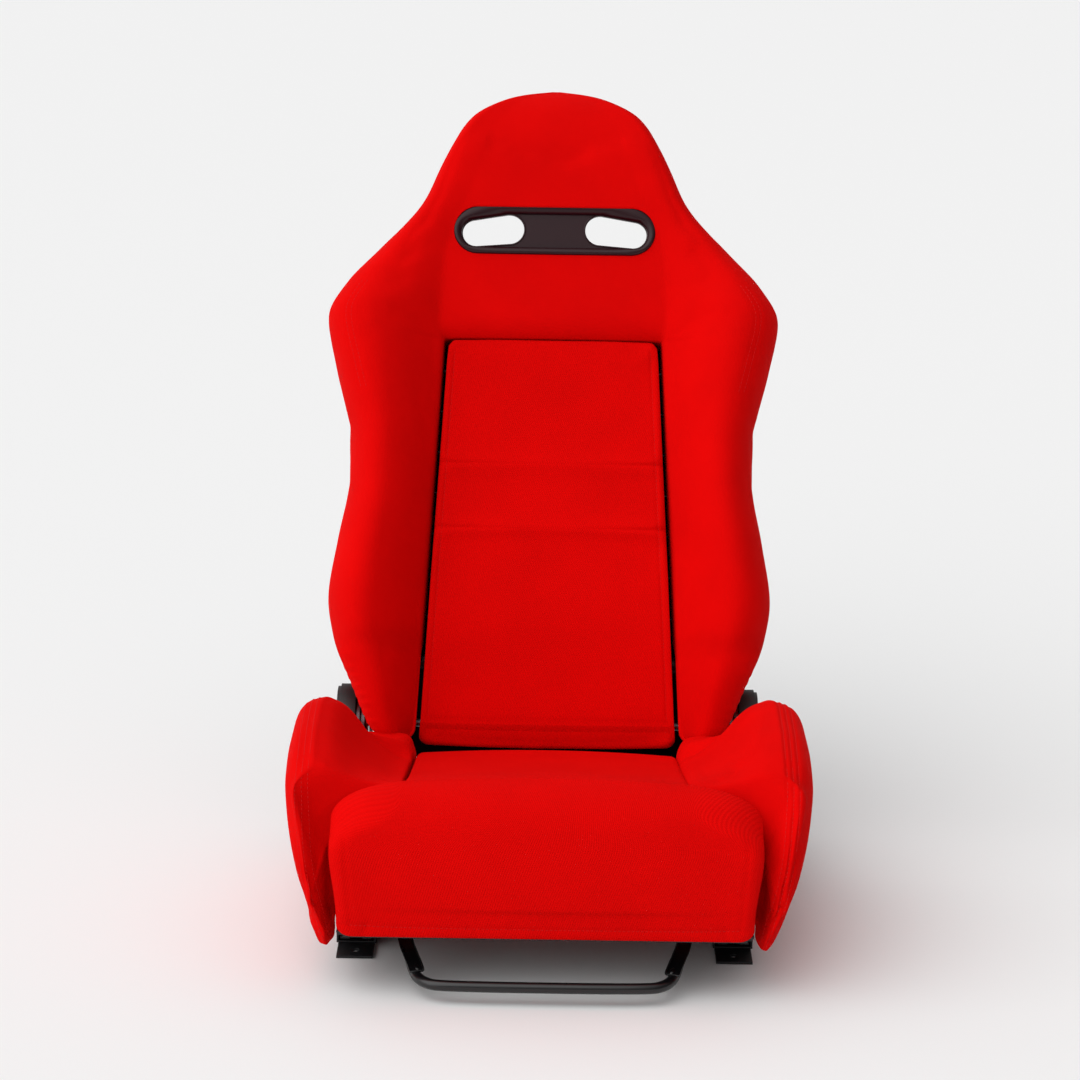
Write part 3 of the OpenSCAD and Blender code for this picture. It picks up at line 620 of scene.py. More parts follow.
# %% Pads swept across the seat
def pad(name, place, loop, core, half, round_x, round_in, crown, columns=40, dish=2.0):
    """loop and core are (n, 2) in millimetres, the other arguments are one value per point."""
    n = len(loop)
    half, round_x, round_in, crown = (np.broadcast_to(np.asarray(q, float), (n,)) for q in (half, round_x, round_in, crown))
    inward = core - loop
    far = np.linalg.norm(inward, axis=1)
    inward = inward / (far[:, None] + 1e-9)
    cols, flats = [], np.linspace(-1, 1, columns)
    angles = np.radians([15, 32, 50, 68, 82, 90])
    def column(x, inset, lift=0.0):
        inset = np.minimum(inset, far)
        p = loop + inward * (inset - lift)[:, None]
        return place(x, p)
    for a, sign in [(a, -1) for a in angles[::-1]] + [(None, 0)] + [(a, 1) for a in angles]:
        if a is None:
            cols += [column(t * (half - round_x), np.zeros(n), crown * (1 - t * t)) for t in flats]
        else:
            cols.append(column(sign * (half - round_x * (1 - math.sin(a))), round_in * (1 - math.cos(a))))
    ends = [0.3, 0.6, 0.85, 1.0]
    first = [column(-(half - dish * t), round_in + (far - round_in) * t) for t in ends[::-1]]
    last = [column(half - dish * t, round_in + (far - round_in) * t) for t in ends]
    grid = np.stack(first + cols + last)
    along = run_length(grid, 1)
    across = run_length(grid, 0)
    across = across - across[len(grid) // 2]
    uv = np.stack([across[:, :1] * 0 + across[:, across.shape[1] // 2:across.shape[1] // 2 + 1] + 0 * across, along], 2)
    faces = grid_faces(len(grid), n, close_cols=True)
    obj = mesh_object(name, grid.reshape(-1, 3), faces, uv.reshape(-1, 2))
    return obj, grid


def crease(loop, core, where, depth, width):
    """Pushes a loop in towards its core at the given arc positions."""
    run = np.concatenate([[0], np.cumsum(np.linalg.norm(np.diff(loop, axis=0), axis=1))])
    inward = core - loop
    inward /= np.linalg.norm(inward, axis=1)[:, None] + 1e-9
    push = sum(depth * np.exp(-((run - s) / width) ** 2) for s in where)
    return loop + inward * push[:, None]

# %% Centre panel of the backrest: three panels between two cross seams
FRONT_OF_INSERT = curve([(-30, 52), (20, 59), (110, 62), (200, 53), (330, 40), (465, 35)])
SEAMS_V = (312.0, 233.0)


def insert_loop():
    """Closed (w, v) profile: up the front, over the top edge, down the rear, under the foot."""
    vs = np.concatenate([np.arange(-3, 225, 7), [227, 230, 232, 233, 234, 236, 239], np.arange(246, 302, 7),
                         [306, 309, 311, 312, 313, 315, 318], np.arange(325, 452, 7)])
    front = np.stack([FRONT_OF_INSERT(vs), vs], 1)
    top = spline([(35.2, 452), (33.5, 459), (28, 464), (18, 464.5), (4, 464.5), (-6, 463)], 10)
    rear = np.stack([np.full(40, -7.0), np.linspace(455, 46, 40)], 1)
    foot = spline([(-6, 40), (14, 38), (15, 8), (22, -12), (31, -24), (42, -28), (50, -23), (54.5, -11)], 24)
    return np.vstack([front, top[1:], rear, foot])


loop = insert_loop()
core = np.stack([np.where(loop[:, 1] < 40, 35, 20), np.clip(loop[:, 1], 4, 440)], 1)
for seam in SEAMS_V:
    near = np.exp(-((loop[:, 1] - seam) / 3.6) ** 2) * (loop[:, 0] > 20)
    loop[:, 0] -= 3.4 * near
halves = insert_half(loop[:, 1]) - 1.5
panel, panel_grid = pad("centre_panel", lambda x, p: back(x, p[:, 0], p[:, 1]), loop, core, halves, 11.0, 9.0,
                        np.where(loop[:, 0] > 25, 3.0, 0.0), columns=44)
held = np.where((np.abs(loop[:, 1] - SEAMS_V[0]) < 1.5) | (np.abs(loop[:, 1] - SEAMS_V[1]) < 1.5) | (loop[:, 0] < 10))[0]
n = len(loop)
pins = [i * n + j for i in range(len(panel_grid)) for j in held]
pins += [i * n + j for i in list(range(0, 5)) + list(range(len(panel_grid) - 5, len(panel_grid))) for j in range(n)]
swollen = puff(panel, pins, 0.007, pressure=3.0).reshape(len(panel_grid), n, 3)
tidy(panel, 1e-4)
finer(panel)


def panel_seams(points, normals):
    """A boxing seam down each side of the panel and along its foot."""
    x, w, v = in_back(points)
    front = ease((normals @ FORTH - 0.2) / 0.3)
    side = groove(insert_half(v) - 10.5 - np.abs(x)) * between(v, 2, 458, 10)
    foot = groove(v - 2) * between(np.abs(x), -1, 148, 8)
    return (1.0 * side + 0.9 * foot) * front


sew(panel, panel_seams)
dress(panel, "backrest", "rib_cloth", "rib_cloth", "back_insert", fill=0.9)

# %% [markdown]
# The seat cushion is wide at its front roll and narrow between the thigh bolsters, so its
# half width changes along the same swept profile.

# %% Seat cushion
SEAT_TOP = curve([(-250, 221), (-200, 208), (-150, 194), (-50, 170), (50, 147), (105, 134), (130, 124)])


def seat_loop():
    """Closed (y, z) profile from the rear, forwards over the roll and back underneath."""
    ys = np.concatenate([np.arange(118, -235, -8), [-238, -243, -247, -251, -255, -259]])
    top = np.stack([ys, np.where(ys > -250, SEAT_TOP(ys), 221.2)], 1)
    roll = spline([(-259, 221), (-275, 219), (-292, 212), (-307, 199), (-316, 181), (-320.5, 150), (-321, 115),
                   (-320, 90), (-318.6, 76), (-317.6, 69), (-316, 67), (-314.8, 69.5), (-314.6, 73.6),
                   (-304, 74), (-290, 74)], 52)
    under = spline([(-290, 74), (-274, 78), (-258, 90), (-240, 94), (-150, 90), (0, 84), (122, 79)], 50)
    rear = spline([(122, 79), (129, 92), (129, 110), (118, 131)], 8)
    return np.vstack([top, roll[1:], under[1:], rear[1:-1]])


loop = seat_loop()
e = ease((-247 - loop[:, 0]) / 13)
core = np.stack([mix(np.clip(loop[:, 0], -230, 95), -272, e), mix((SEAT_TOP(loop[:, 0]) + 88) / 2, 142, e)], 1)
height = loop[:, 1]
halves = mix(153.2, mix(221.5, 229.5, ease((height - 75) / 90)), e)
on_top = ease((height - 165) / 45)
rx = mix(8.0, mix(17.0, 72.0, on_top), e)
rin = mix(7.0, mix(13.0, 36.0, on_top), e)
crown = np.where(height > 100, mix(5.0, 4.0, e), 0.0)
cushion, seat_grid = pad("seat_cushion", lambda x, p: np.stack([x, p[:, 0], p[:, 1]], 1) / 1000, loop, core, halves,
                         rx, rin, crown, columns=56)
n = len(loop)
under = np.where((height < 80) | ((loop[:, 0] > -250) & (height < 100)))[0]
pins = [i * n + j for i in range(len(seat_grid)) for j in under]
pins += [i * n + j for i in list(range(0, 4)) + list(range(len(seat_grid) - 4, len(seat_grid))) for j in range(n)]
swollen = puff(cushion, pins, 0.009, pressure=3.5).reshape(len(seat_grid), n, 3)
tidy(cushion, 1e-4)
finer(cushion)
HEM_Z, GUSSET_X = 80.0, 212.0


def cushion_seams(points, normals):
    """The hem over the front edge, the side gussets and small tucks at the lower corners."""
    x, y, z = points.T * 1000
    front = ease((-normals[:, 1] - 0.15) / 0.3)
    hem = groove(z - HEM_Z - 3 * (np.abs(x) / 220) ** 4, 2.2) * between(np.abs(x), -1, 224, 10)
    gusset = groove(np.abs(x) - mix(GUSSET_X - 6, GUSSET_X, ease((z - 75) / 90)), 2.0) * between(z, 70, 206, 16)
    tuck = 1.6 * groove(np.abs(x) - 186 - 0.35 * (90 - z), 3.0) * between(z, 64, 92, 10)
    return (1.0 * hem + 0.9 * gusset + tuck) * front


sew(cushion, cushion_seams)
dress(cushion, "seat", "rib_cloth", "rib_cloth", "cushion_centre", "cushion_front_roll", fill=0.9)

# %% [markdown]
# A thigh bolster is a loft from front to back. Its crest height, its outer width and its foot
# are smooth functions of the distance from the front, and its ends are rounded off.

# %% Thigh bolsters
CREST_Z = curve([(-303, 140), (-298, 163), (-290, 185), (-272, 210), (-247, 230), (-205, 246), (-150, 254),
                 (-80, 254), (-20, 245), (30, 219), (62, 184), (90, 158), (128, 152)])
OUT_X = curve([(-303, 274), (-292, 279), (-272, 283), (-247, 285.5), (-205, 287.5), (-150, 288.5), (-80, 288.5), (-20, 285),
               (30, 272), (65, 264), (95, 257), (128, 250)])
FOOT_Z = curve([(-303, 62), (-296, 50), (-280, 45), (-247, 45), (-100, 50), (128, 53)])
BOLSTER_Y = np.concatenate([[-304.3, -303, -300, -296, -291, -285, -279], np.arange(-272, 95, 7.5),
                            [100, 108, 116, 122, 126, 128.5]])


def bolster_ring(y):
    """Closed (x, z) section in three runs, so that the crest and the foot keep their places in it."""
    top, out, low = float(CREST_Z(y)), float(OUT_X(y)), float(FOOT_Z(y))
    behind, lobe = float(ease((y + 262) / 22)), float(ease((y - 40) / 50))
    inner = mix(233.0, 153.0, behind)
    base = mix(low + 4, 95.0, behind)
    inner_z = mix(mix(low, top, 0.62), min(float(SEAT_TOP(max(y, -250))) - 6, top - 12), behind)
    def at(across, high):
        return mix(inner, out, across), mix(inner_z, top, high)
    crest = (mix(inner, out, 0.74), top)
    slope = [(inner, inner_z), (inner + mix(2.5, 1.0, lobe), mix(inner_z, top, mix(0.10, 0.40, lobe))),
             at(mix(0.16, 0.07, lobe), mix(mix(0.30, 0.16, behind), 0.82, lobe)),
             at(mix(0.36, 0.18, lobe), mix(mix(0.62, 0.42, behind), 0.97, lobe)), at(0.57, mix(0.86, 1.0, lobe)), crest]
    round_nose = float(ease((-215 - y) / 60))
    outer = [crest, (mix(inner, out, mix(0.91, 0.85, round_nose)), mix(low, top, mix(0.962, 0.95, round_nose))),
             (out - mix(2, 10, round_nose), mix(low, top, 0.86)), (out - mix(2, 5, round_nose), mix(low, top, 0.72)), (out - 9, mix(low, top, 0.55)), (out - 17, mix(low, top, 0.38)),
             (mix(243, out, 0.32), mix(low, top, 0.2)), (mix(241, out, 0.12), mix(low, top, 0.06)), (239, low)]
    foot = [(239, low), (233, low - 0.5), (227, low + 4), (mix(224, 236, behind), mix(low + 12, 93.0, behind)),
            (mix(228, 195, behind), mix(low + 26, 95.0, behind)), (inner, mix(low + 44, 95.0, behind)),
            (inner, mix(mix(low, top, 0.4), mix(base, inner_z, 0.5), behind)), (inner, inner_z)]
    points = np.vstack([spline(run, count)[:-1] for run, count in ((slope, 24), (outer, 34), (foot, 26))])
    nose, heel = min((y + 304.6) / 58, 1.0), min((129 - y) / 10, 1.0)
    narrow = math.sqrt(max(0.02, 1 - (1 - nose) ** 2)) * mix(0.86, 1.0, math.sqrt(max(0, 1 - (1 - heel) ** 2)))
    heart = mix(inner + 1, mix(inner, out, 0.5), np.clip((points[:, 1] - low) / (0.5 * (top - low)), 0, 1))
    points[:, 0] = heart + (points[:, 0] - heart) * narrow
    points[:, 1] = mix(low, top, 0.5) + (points[:, 1] - mix(low, top, 0.5)) * mix(0.9, 1.0, narrow)
    return points


BOLSTER_STITCH = (-6.5, 0.0, 6.5)
STITCH_X = curve([(50, 233), (75, 240), (100, 246), (140, 254), (180, 259), (225, 262), (262, 262)])


def bolster_seams(points, normals):
    """Three parallel topstitched furrows down the front of the bolster and back along its crest."""
    x, y, z = points.T * 1000
    facing = ease((np.maximum(-normals[:, 1], 0.9 * normals[:, 2]) - 0.15) / 0.3)
    line = np.where(y < -200, STITCH_X(z), STITCH_X(258) + 0.02 * (y + 200))
    rows = sum(groove(np.abs(x) - line - k, 1.7) for k in BOLSTER_STITCH)
    return 1.1 * rows * facing * between(y, -330, 20, 30) * between(z, 40, 300, 10)


def bolster(side):
    rings = [bolster_ring(y) for y in BOLSTER_Y]
    grid = np.stack([np.stack([side * r[:, 0], np.full(len(r), y), r[:, 1]], 1) / 1000 for r, y in zip(rings, BOLSTER_Y)])
    rows, cols = grid.shape[:2]
    across, along = run_length(grid, 1), run_length(grid, 0)
    uv = np.stack([along, across], 2).reshape(-1, 2)
    faces = grid_faces(rows, cols, close_cols=True)
    faces += [tuple(range(cols)), tuple(range((rows - 1) * cols, rows * cols))]
    obj = mesh_object("bolster_left" if side > 0 else "bolster_right", grid.reshape(-1, 3), faces, uv)
    foot = [i * cols + j for i in range(rows) for j in range(cols)
            if grid[i, j, 2] < 0.075 or (abs(grid[i, j, 0]) < 0.24 and grid[i, j, 2] < 0.10)]
    ends = [i * cols + j for i in (rows - 2, rows - 1) for j in range(cols)]
    swollen = puff(obj, foot + ends, 0.004, pressure=3.5).reshape(rows, cols, 3)
    tidy(obj, 1e-4)
    finer(obj, 2)
    sew(obj, bolster_seams)
    dress(obj, "seat", "knit_cloth", "knit_cloth", "thigh_bolster_left" if side > 0 else "thigh_bolster_right", fill=0.9)
    return obj


BOLSTERS = {side: bolster(side) for side in (1, -1)}
print("soft parts done")

# %% [markdown]
# The moulding round the belt slots is one satin part: a fat rolled rim, a flat bridge set back
# inside it, and two slots whose own thin rims run through to the rear.

# %% Belt-slot moulding
def outline_normals(outline):
    ahead = np.roll(outline, -1, 0) - np.roll(outline, 1, 0)
    ahead /= np.linalg.norm(ahead, axis=1)[:, None] + 1e-9
    normal = np.stack([ahead[:, 1], -ahead[:, 0]], 1)
    return normal if np.sum(normal * (outline - outline.mean(0))) > 0 else -normal


def sweep(outline, profile, place):
    """Sweeps an (out, up) profile round a closed outline given in x and v."""
    normal = outline_normals(outline)
    grid = np.stack([place(outline[:, 0] + o * normal[:, 0], np.full(len(outline), u), outline[:, 1] + o * normal[:, 1])
                     for o, u in profile])
    return grid, grid_faces(len(profile), len(outline), close_cols=True)


def place_slot(x, w, v):
    """About the middle of the front moulding's face, square to it."""
    return back(x, w, SLOT_V + v)


SLOT_INNER, SLOT_OUTER = np.array([55.0, 1.6]), np.array([95.4, -3.4])
SLOT_R_IN, SLOT_R_OUT = 18.6, 16.8


def slot_outline(side, count=80, grow=0.0):
    """One belt slot: a round inner end, and a smaller outer end that sits lower."""
    inner, outer = SLOT_INNER * [side, 1], SLOT_OUTER * [side, 1]
    r_in, r_out = SLOT_R_IN + grow, SLOT_R_OUT + grow
    axis = (outer - inner) / np.linalg.norm(outer - inner)
    base = math.atan2(axis[1], axis[0])
    lean = math.asin((r_in - r_out) / np.linalg.norm(outer - inner))
    points = []
    for a in np.linspace(base - math.pi / 2 + lean, base + math.pi / 2 - lean, count // 2):
        points.append(outer + r_out * np.array([math.cos(a), math.sin(a)]))
    for a in np.linspace(base + math.pi / 2 - lean, base + 3 * math.pi / 2 + lean, count // 2):
        points.append(inner + r_in * np.array([math.cos(a), math.sin(a)]))
    return np.array(points)


def plate_with_holes(outer, holes, w, place):
    """A flat plate between an outline and its holes."""
    bm = bmesh.new()
    for ring in [outer] + holes:
        verts = [bm.verts.new(tuple(p)) for p in place(ring[:, 0], np.full(len(ring), w), ring[:, 1])]
        for a, b in zip(verts, verts[1:] + verts[:1]):
            bm.edges.new((a, b))
    bmesh.ops.triangle_fill(bm, edges=bm.edges, use_beauty=True)
    points = np.array([v.co for v in bm.verts])
    bm.verts.index_update()
    faces = [tuple(v.index for v in f.verts) for f in bm.faces]
    bm.free()
    return points, faces


def hard(obj, body, slot, *nodes):
    obj.data.materials.clear()
    obj.data.materials.append(MATERIALS[slot])
    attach(obj, body)
    if nodes:
        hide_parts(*nodes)
    return obj


def joined(name, parts, gap=1.5e-4):
    points, faces = [], []
    for p, f in parts:
        start = sum(len(q) for q in points)
        points.append(p.reshape(-1, 3))
        faces += [tuple(start + i for i in face) for face in f]
    return tidy(mesh_object(name, np.vstack(points), faces), gap)


def by_angle(points, count=320):
    """An outline walked again at even angles about its middle, so that two outlines pair up."""
    closed = np.vstack([points, points[:1]])
    fine = np.vstack([mix(a, b, t) for a, b in zip(closed, closed[1:]) for t in np.linspace(0, 1, 12, endpoint=False)])
    turn = np.unwrap(np.arctan2(fine[:, 1] * 2.2, fine[:, 0]))
    order = np.argsort(turn)
    want = np.linspace(-math.pi, math.pi, count, endpoint=False)
    return np.stack([np.interp(want, turn[order], fine[order, k], period=2 * math.pi) for k in (0, 1)], 1)


def opening_outline():
    """The line round both slots: their outer ends, joined straight across the bridge."""
    lean = math.asin((SLOT_R_IN - SLOT_R_OUT) / np.linalg.norm(SLOT_OUTER - SLOT_INNER))
    tilt = math.atan2(*(SLOT_OUTER - SLOT_INNER)[::-1])
    high = tilt + math.pi / 2 - lean
    end = [SLOT_OUTER + SLOT_R_OUT * np.array([math.cos(a), math.sin(a)]) for a in np.linspace(-math.pi / 2, high, 30)]
    knee = [SLOT_INNER + SLOT_R_IN * np.array([math.cos(a), math.sin(a)]) for a in np.linspace(high, math.pi / 2, 6)]
    right = np.array(end + knee)
    return np.vstack([right, right[::-1] * [-1, 1]])


def rim_outline():
    """The outer edge of the rim: a stadium whose upper side is arched."""
    outer = stadium(93.5, 29.3)
    lift = 1 - np.clip(np.abs(outer[:, 0]) / 118, 0, 1) ** 2.4
    outer[:, 1] += np.where(outer[:, 1] > 0, 4.6, -0.8) * lift
    return outer


def front_moulding():
    """Rolled rim between the opening and its outer edge, a bridge set back inside, two lipped slots."""
    floor_w, plate_w = 33.0, 25.0
    inner, outer = by_angle(opening_outline()), by_angle(rim_outline())
    roll = spline([(0, floor_w), (0.01, 34.6), (0.1, 37.2), (0.35, 39.4), (0.65, 40.2), (0.88, 39.2), (0.99, 37.2),
                   (1.0, 36.4)], 26)
    grid = [place_slot(*q) for q in ((mix(inner, outer, u)[:, 0], np.full(len(inner), w), mix(inner, outer, u)[:, 1])
                                     for u, w in roll)]
    tube = by_angle(stadium(91, 27.2))
    grid += [place_slot(tube[:, 0], np.full(len(tube), w), tube[:, 1]) for w in (36.3, plate_w)]
    parts = [(np.stack(grid), grid_faces(len(grid), len(inner), close_cols=True))]
    holes = [slot_outline(side, grow=-0.6) for side in (-1, 1)]
    lip = [(2.2, floor_w), (1.7, floor_w + 0.9), (0.7, floor_w + 1.1), (0.0, floor_w + 0.3), (-0.1, floor_w - 2.5),
           (0.4, plate_w)]
    parts += [sweep(hole, spline(lip, 14), place_slot) for hole in holes]
    parts.append(plate_with_holes(inner, [slot_outline(side, grow=-0.7) for side in (-1, 1)], floor_w, place_slot))
    parts.append(plate_with_holes(tube, [slot_outline(side, grow=-0.2) for side in (-1, 1)], plate_w, place_slot))
    return joined("slot_moulding_front", parts)


def rear_moulding():
    """The rear flange and the sleeve of the belt passage."""
    wall = spline([(-0.5, -0.4), (-0.5, -52.0), (0.2, -53.8), (2.0, -54.4), (5.2, -54.0), (6.2, -52.4),
                   (6.0, -50.2)], 26)
    wall = np.vstack([wall, [(1.8, -50.2), (1.8, -0.4), (-0.5, -0.4)]])
    return joined("slot_moulding_rear", [sweep(stadium(93, 26.9), wall, passage)])


def crisp(obj, degrees=32):
    """Shades smoothly over curves, with sharp edges where faces turn by more than degrees."""
    obj.data.set_sharp_from_angle(angle=math.radians(degrees))
    return obj


hard(crisp(front_moulding()), "backrest", "bezel_plastic", "belt_bezel_front")
hard(crisp(rear_moulding()), "backrest", "bezel_plastic", "belt_bezel_rear")

# %% [markdown]
# The bar that frees the slides is a bent round bar in front. Two pressed strips, each with its
# inner edge turned up, carry it back to the pivots, and a short lug on each works a latch plate.

# %% Lift-bar under the front edge
def strip(name, points, section):
    """Sweeps a flat (sideways, up) section along points, its sides kept level."""
    p = np.asarray(points, float)
    way = np.gradient(p, axis=0)
    way /= np.linalg.norm(way, axis=1)[:, None]
    side = np.cross(way, [0, 0, 1.0])
    side /= np.linalg.norm(side, axis=1)[:, None]
    lift = np.cross(side, way)
    rings = p[:, None] + section[None, :, :1] * side[:, None] + section[None, :, 1:] * lift[:, None]
    n, last = len(section), (len(p) - 1) * len(section)
    faces = grid_faces(len(p), n, close_cols=True) + [tuple(range(n)), tuple(range(last, last + n))]
    return tidy(mesh_object(name, rings.reshape(-1, 3), faces), 1e-6)


def rounded_edges(obj, width, segments=2):
    m = obj.modifiers.new("Edge", "BEVEL")
    m.width, m.segments, m.limit_method, m.angle_limit = width, segments, "ANGLE", math.radians(35)
    return applied(obj)


half_bar = [(143.5, -272, 24), (139.5, -293, 22), (134, -310, 20.6), (124, -322.5, 20), (108, -328.5, 20),
            (60, -330.6, 20), (0, -331, 20)]
line = spline(half_bar + [(-x, y, z) for x, y, z in half_bar[-2::-1]], 130) / 1000
hard(pipe("lift_bar", line, 0.006), "lift_bar", "bar_gloss", "slide_bar")
ARM = [(135.5, -307, 25.5), (139, -293, 28.5), (144, -272, 30.5), (151, -232, 31.5), (163, -120, 32.5), (173, -20, 33),
       (175.5, 34, 33)]
ARM_SECTION = np.array([(8, 0), (-6.5, 0), (-8, 1.2), (-8, 4.5), (-6.6, 4.5), (-6.6, 2.2), (8, 2.2)]) / 1000
LUG_TOP = float(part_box("latch_plates")[1][2])
for side in (1, -1):
    arm = spline(ARM, 60) / 1000 * [side, 1, 1]
    hard(rounded_edges(strip("lift_bar_arm", arm, ARM_SECTION * [side, 1]), 0.0004), "lift_bar", "bar_gloss")
    pin = np.array([side * 0.176, 0.040, 0.033])
    eye = pipe("lift_bar_eye", [pin - [0.007, 0, 0], pin + [0.007, 0, 0]], 0.010, sides=32)
    hard(rounded_edges(eye, 0.001), "lift_bar", "bar_gloss")
    lug = strip("lift_bar_lug", [(side * 0.172, 0.010, LUG_TOP + 0.0015), (side * 0.190, 0.010, LUG_TOP + 0.0015)],
                np.array([(15, -1.5), (-15, -1.5), (-15, 1.5), (15, 1.5)]) / 1000)
    hard(rounded_edges(lug, 0.0005), "lift_bar", "bar_gloss")
    bead = [(side * (0.1345 + 0.0012 * k), -0.3055 + 0.0042 * k, 0.0262 + 0.0007 * k) for k in range(4)]
    hard(pipe("weld_bead", bead, np.array([0.0022, 0.0034, 0.0033, 0.0020]), sides=12), "lift_bar", "bar_gloss")

# %% [markdown]
# Every other hard part is shown as it was packed: its flat faces are merged, its edges are
# rounded by a small bevel and it takes its finish from the record.

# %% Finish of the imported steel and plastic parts
SLOTS = {s["node"]: s["material_slot"] for s in RECORD["subparts"]}
BEVEL = {"hinge_cover_left": 0.0035, "hinge_cover_right": 0.0035, "side_member_left": 0.0008, "side_member_right": 0.0008,
         "recline_lever": 0.0008, "lever_nut": 0.0004, "rail_bolts": 0.0004, "recliner_bolts": 0.0004,
         "lower_rail_left": 0.0008, "lower_rail_right": 0.0008, "rail_feet": 0.0006, "back_panel": 0.0012,
         "latch_plates": 0.0004, "recliner_base_left": 0.0006, "recliner_base_right": 0.0006}
SOFT_SLOTS = {"rib_cloth", "knit_cloth"}
shown = [n for n in NODES if SLOTS[n] not in SOFT_SLOTS and n not in ("slide_bar", "belt_bezel_front", "belt_bezel_rear")]
for name in shown:
    obj = NODES[name]
    obj.data.materials.clear()
    obj.data.materials.append(MATERIALS[SLOTS[name]])
    weld = obj.modifiers.new("Weld", "WELD")
    weld.merge_threshold = 1e-5
    if name in BEVEL:
        flat = obj.modifiers.new("Merge flats", "DECIMATE")
        flat.decimate_type = "DISSOLVE"
        flat.angle_limit = math.radians(2)
        edge = obj.modifiers.new("Round edges", "BEVEL")
        edge.width, edge.segments, edge.limit_method, edge.angle_limit = BEVEL[name], 3, "ANGLE", math.radians(35)
        edge.harden_normals = False
print("packed parts shown:", len(shown))

# %% [markdown]
# Stitches are one Geometry Nodes tree used along every seam: the seam's line is walked at an
# even spacing, a small capsule is set at each step along the line, and the result is baked.

# %% Stitches along the seams
def stitch_tree():
    tree = bpy.data.node_groups.new("Stitches", "GeometryNodeTree")
    face = tree.interface
    face.new_socket("Line", in_out="INPUT", socket_type="NodeSocketGeometry")
    for label, value in (("Spacing", 0.005), ("Length", 0.0036), ("Thickness", 0.0009)):
        face.new_socket(label, in_out="INPUT", socket_type="NodeSocketFloat").default_value = value
    face.new_socket("Thread", in_out="INPUT", socket_type="NodeSocketMaterial")
    face.new_socket("Stitches", in_out="OUTPUT", socket_type="NodeSocketGeometry")
    given = tree.nodes.new("NodeGroupInput")
    line = add(tree, "GeometryNodeMeshToCurve", [("Mesh", given.outputs["Line"])])
    steps = add(tree, "GeometryNodeCurveToPoints", [("Curve", line.outputs["Curve"]), ("Length", given.outputs["Spacing"])],
                mode="LENGTH")
    capsule = add(tree, "GeometryNodeMeshIcoSphere", Radius=0.5, Subdivisions=1)
    size = add(tree, "ShaderNodeCombineXYZ", [("X", given.outputs["Thickness"]), ("Y", given.outputs["Thickness"]),
                                              ("Z", given.outputs["Length"])])
    shaped = add(tree, "GeometryNodeTransform", [("Geometry", capsule.outputs["Mesh"]), ("Scale", size.outputs["Vector"])])
    placed = add(tree, "GeometryNodeInstanceOnPoints",
                 [("Points", steps.outputs["Points"]), ("Instance", shaped.outputs["Geometry"]),
                  ("Rotation", steps.outputs["Rotation"])])
    real = add(tree, "GeometryNodeRealizeInstances", [("Geometry", placed.outputs["Instances"])])
    painted = add(tree, "GeometryNodeSetMaterial", [("Geometry", real.outputs["Geometry"]),
                                                    ("Material", given.outputs["Thread"])])
    out = tree.nodes.new("NodeGroupOutput")
    tree.links.new(painted.outputs["Geometry"], out.inputs["Stitches"])
    return tree


STITCHES = stitch_tree()


def stitched(name, lines, body, spacing=0.0048, length=0.0036, thickness=0.0010, thread=None):
    """A row of stitches along each of the given lines of points."""
    points, edges = [], []
    for line in lines:
        edges += [(len(points) + i, len(points) + i + 1) for i in range(len(line) - 1)]
        points += [tuple(p) for p in line]
    mesh = bpy.data.meshes.new(name)
    mesh.from_pydata(points, edges, [])
    obj = bpy.data.objects.new(name, mesh)
    SCENE.collection.objects.link(obj)
    modifier = obj.modifiers.new("Stitches", "NODES")
    modifier.node_group = STITCHES
    wanted = {"Spacing": spacing, "Length": length, "Thickness": thickness, "Thread": thread or THREAD}
    for item in STITCHES.interface.items_tree:
        if item.item_type == "SOCKET" and item.in_out == "INPUT" and item.name in wanted:
            modifier[item.identifier] = wanted[item.name]
    applied(obj)
    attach(obj, body)
    return obj


# %% [markdown]
# Each row of stitches is thrown onto its pad along one direction, so it lies in the furrow that
# was pressed for it, half sunk in the cloth.

# %% Rows of stitches on the pads
def backrest_row(x_of_v, low, high, side):
    v = np.arange(low, high, 4.0)
    return landed(cover, back(side * x_of_v(v), 130.0, v), -FORTH, 0.2)


wing_rows = [backrest_row(lambda v, k=k: HALF(v) - k, 398, 530, side) for side in (1, -1) for k in WING_STITCH]
stitched("wing_stitches", wing_rows, "backrest", thickness=0.0007)

v = np.arange(8.0, 452, 4.0)
panel_rows = [landed(panel, back(side * (insert_half(v) - 10.5), 130.0, v), -FORTH, 0.2) for side in (1, -1)]
stitched("panel_stitches", panel_rows, "backrest", thickness=0.0006, length=0.0030, spacing=0.0042)

for side, name in ((1, "left"), (-1, "right")):
    rows = []
    for k in BOLSTER_STITCH:
        z = np.arange(58.0, 236, 4.0)
        up_front = np.stack([side * (STITCH_X(z) + k), np.full(len(z), -400.0), z], 1) / 1000
        y = np.arange(-216.0, 0, 4.0)
        along = np.stack([side * (STITCH_X(258) + 0.02 * (y + 200) + k), y, np.full(len(y), 330.0)], 1) / 1000
        rows += [landed(BOLSTERS[side], up_front, (0, 1, 0), 0.2), landed(BOLSTERS[side], along, (0, 0, -1), 0.2)]
    stitched(f"bolster_stitches_{name}", rows, "seat", thickness=0.0008)

x = np.arange(-205.0, 206, 4.0)
hem = landed(cushion, np.stack([x, np.full(len(x), -400.0), HEM_Z + 3 * (np.abs(x) / 220) ** 4], 1) / 1000, (0, 1, 0), 0.2)
stitched("hem_stitches", [hem], "seat", thickness=0.0007)
print("stitch rows placed")

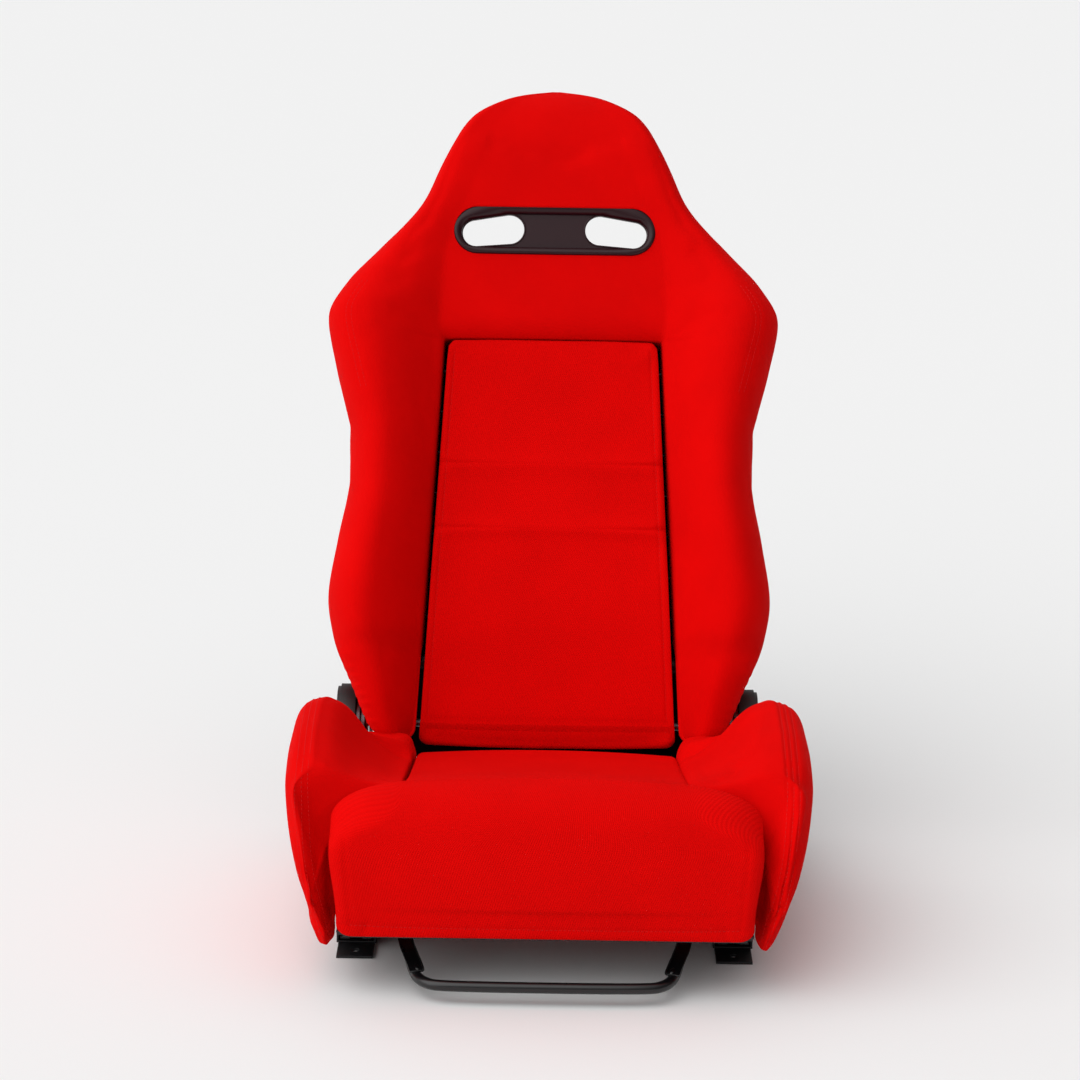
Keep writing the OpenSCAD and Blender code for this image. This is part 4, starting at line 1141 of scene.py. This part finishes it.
# %% Floor, lights and camera
floor_mesh = bpy.data.meshes.new("floor")
floor_mesh.from_pydata([(-30, -12, 0), (30, -12, 0), (30, 60, 0), (-30, 60, 0)], [], [(0, 1, 2, 3)])
floor = bpy.data.objects.new("floor", floor_mesh)
SCENE.collection.objects.link(floor)
pale, _, _ = surface("Pale studio floor", "#F0F0F0", 0.8, Specular_IOR_Level=0.05)
floor.data.materials.append(pale)

world = bpy.data.worlds.new("Studio")
SCENE.world = world
world.use_nodes = True
# The studio's soft box fills the left and the top, and its right side and its front stay dim.
sky = world.node_tree
toward = add(sky, "ShaderNodeTexCoord")
parts = add(sky, "ShaderNodeSeparateXYZ", [("Vector", toward.outputs["Generated"])])
high = maths(sky, "MULTIPLY_ADD", parts.outputs["Z"], 0.60, 0.25)
left = maths(sky, "MULTIPLY_ADD", parts.outputs["X"], -0.34, high)
glow = maths(sky, "MAXIMUM", maths(sky, "MULTIPLY_ADD", parts.outputs["Y"], 0.10, left), 0.01)
sky.links.new(glow, sky.nodes["Background"].inputs["Strength"])
sky.nodes["Background"].inputs["Color"].default_value = (1, 1, 1, 1)


def lamp(name, kind, place, aim, energy, size, colour=(1, 1, 1)):
    data = bpy.data.lights.new(name, kind)
    data.energy, data.color = energy, colour
    if kind == "AREA":
        data.shape, data.size, data.size_y = "RECTANGLE", size[0], size[1]
    else:
        data.angle = size
    obj = bpy.data.objects.new(name, data)
    obj.location = place
    obj.rotation_euler = (Vector(aim) - Vector(place)).to_track_quat("-Z", "Y").to_euler()
    SCENE.collection.objects.link(obj)
    return obj


lamp("key", "SUN", (-1.6, -1.35, 1.9), (0, 0, 0), 1.75, math.radians(80))

camera_data = bpy.data.cameras.new("camera")
camera_data.sensor_width = 36
camera_data.lens = 3200 / 1080 * 36
camera = bpy.data.objects.new("camera", camera_data)
SCENE.collection.objects.link(camera)
PITCH, ROLL = math.radians(14.62), math.radians(0.9)
look = Vector((0, math.cos(PITCH), -math.sin(PITCH)))
right = Vector((1, 0, 0))
up = right.cross(look)
right_rolled = right * math.cos(ROLL) + up * math.sin(ROLL)
up_rolled = up * math.cos(ROLL) - right * math.sin(ROLL)
camera.matrix_world = Matrix((
    (right_rolled.x, up_rolled.x, -look.x, -0.012),
    (right_rolled.y, up_rolled.y, -look.y, -3.48),
    (right_rolled.z, up_rolled.z, -look.z, 1.33),
    (0, 0, 0, 1)))
camera_data.clip_end = 200
SCENE.camera = camera
SCENE.view_settings.view_transform = "Standard"
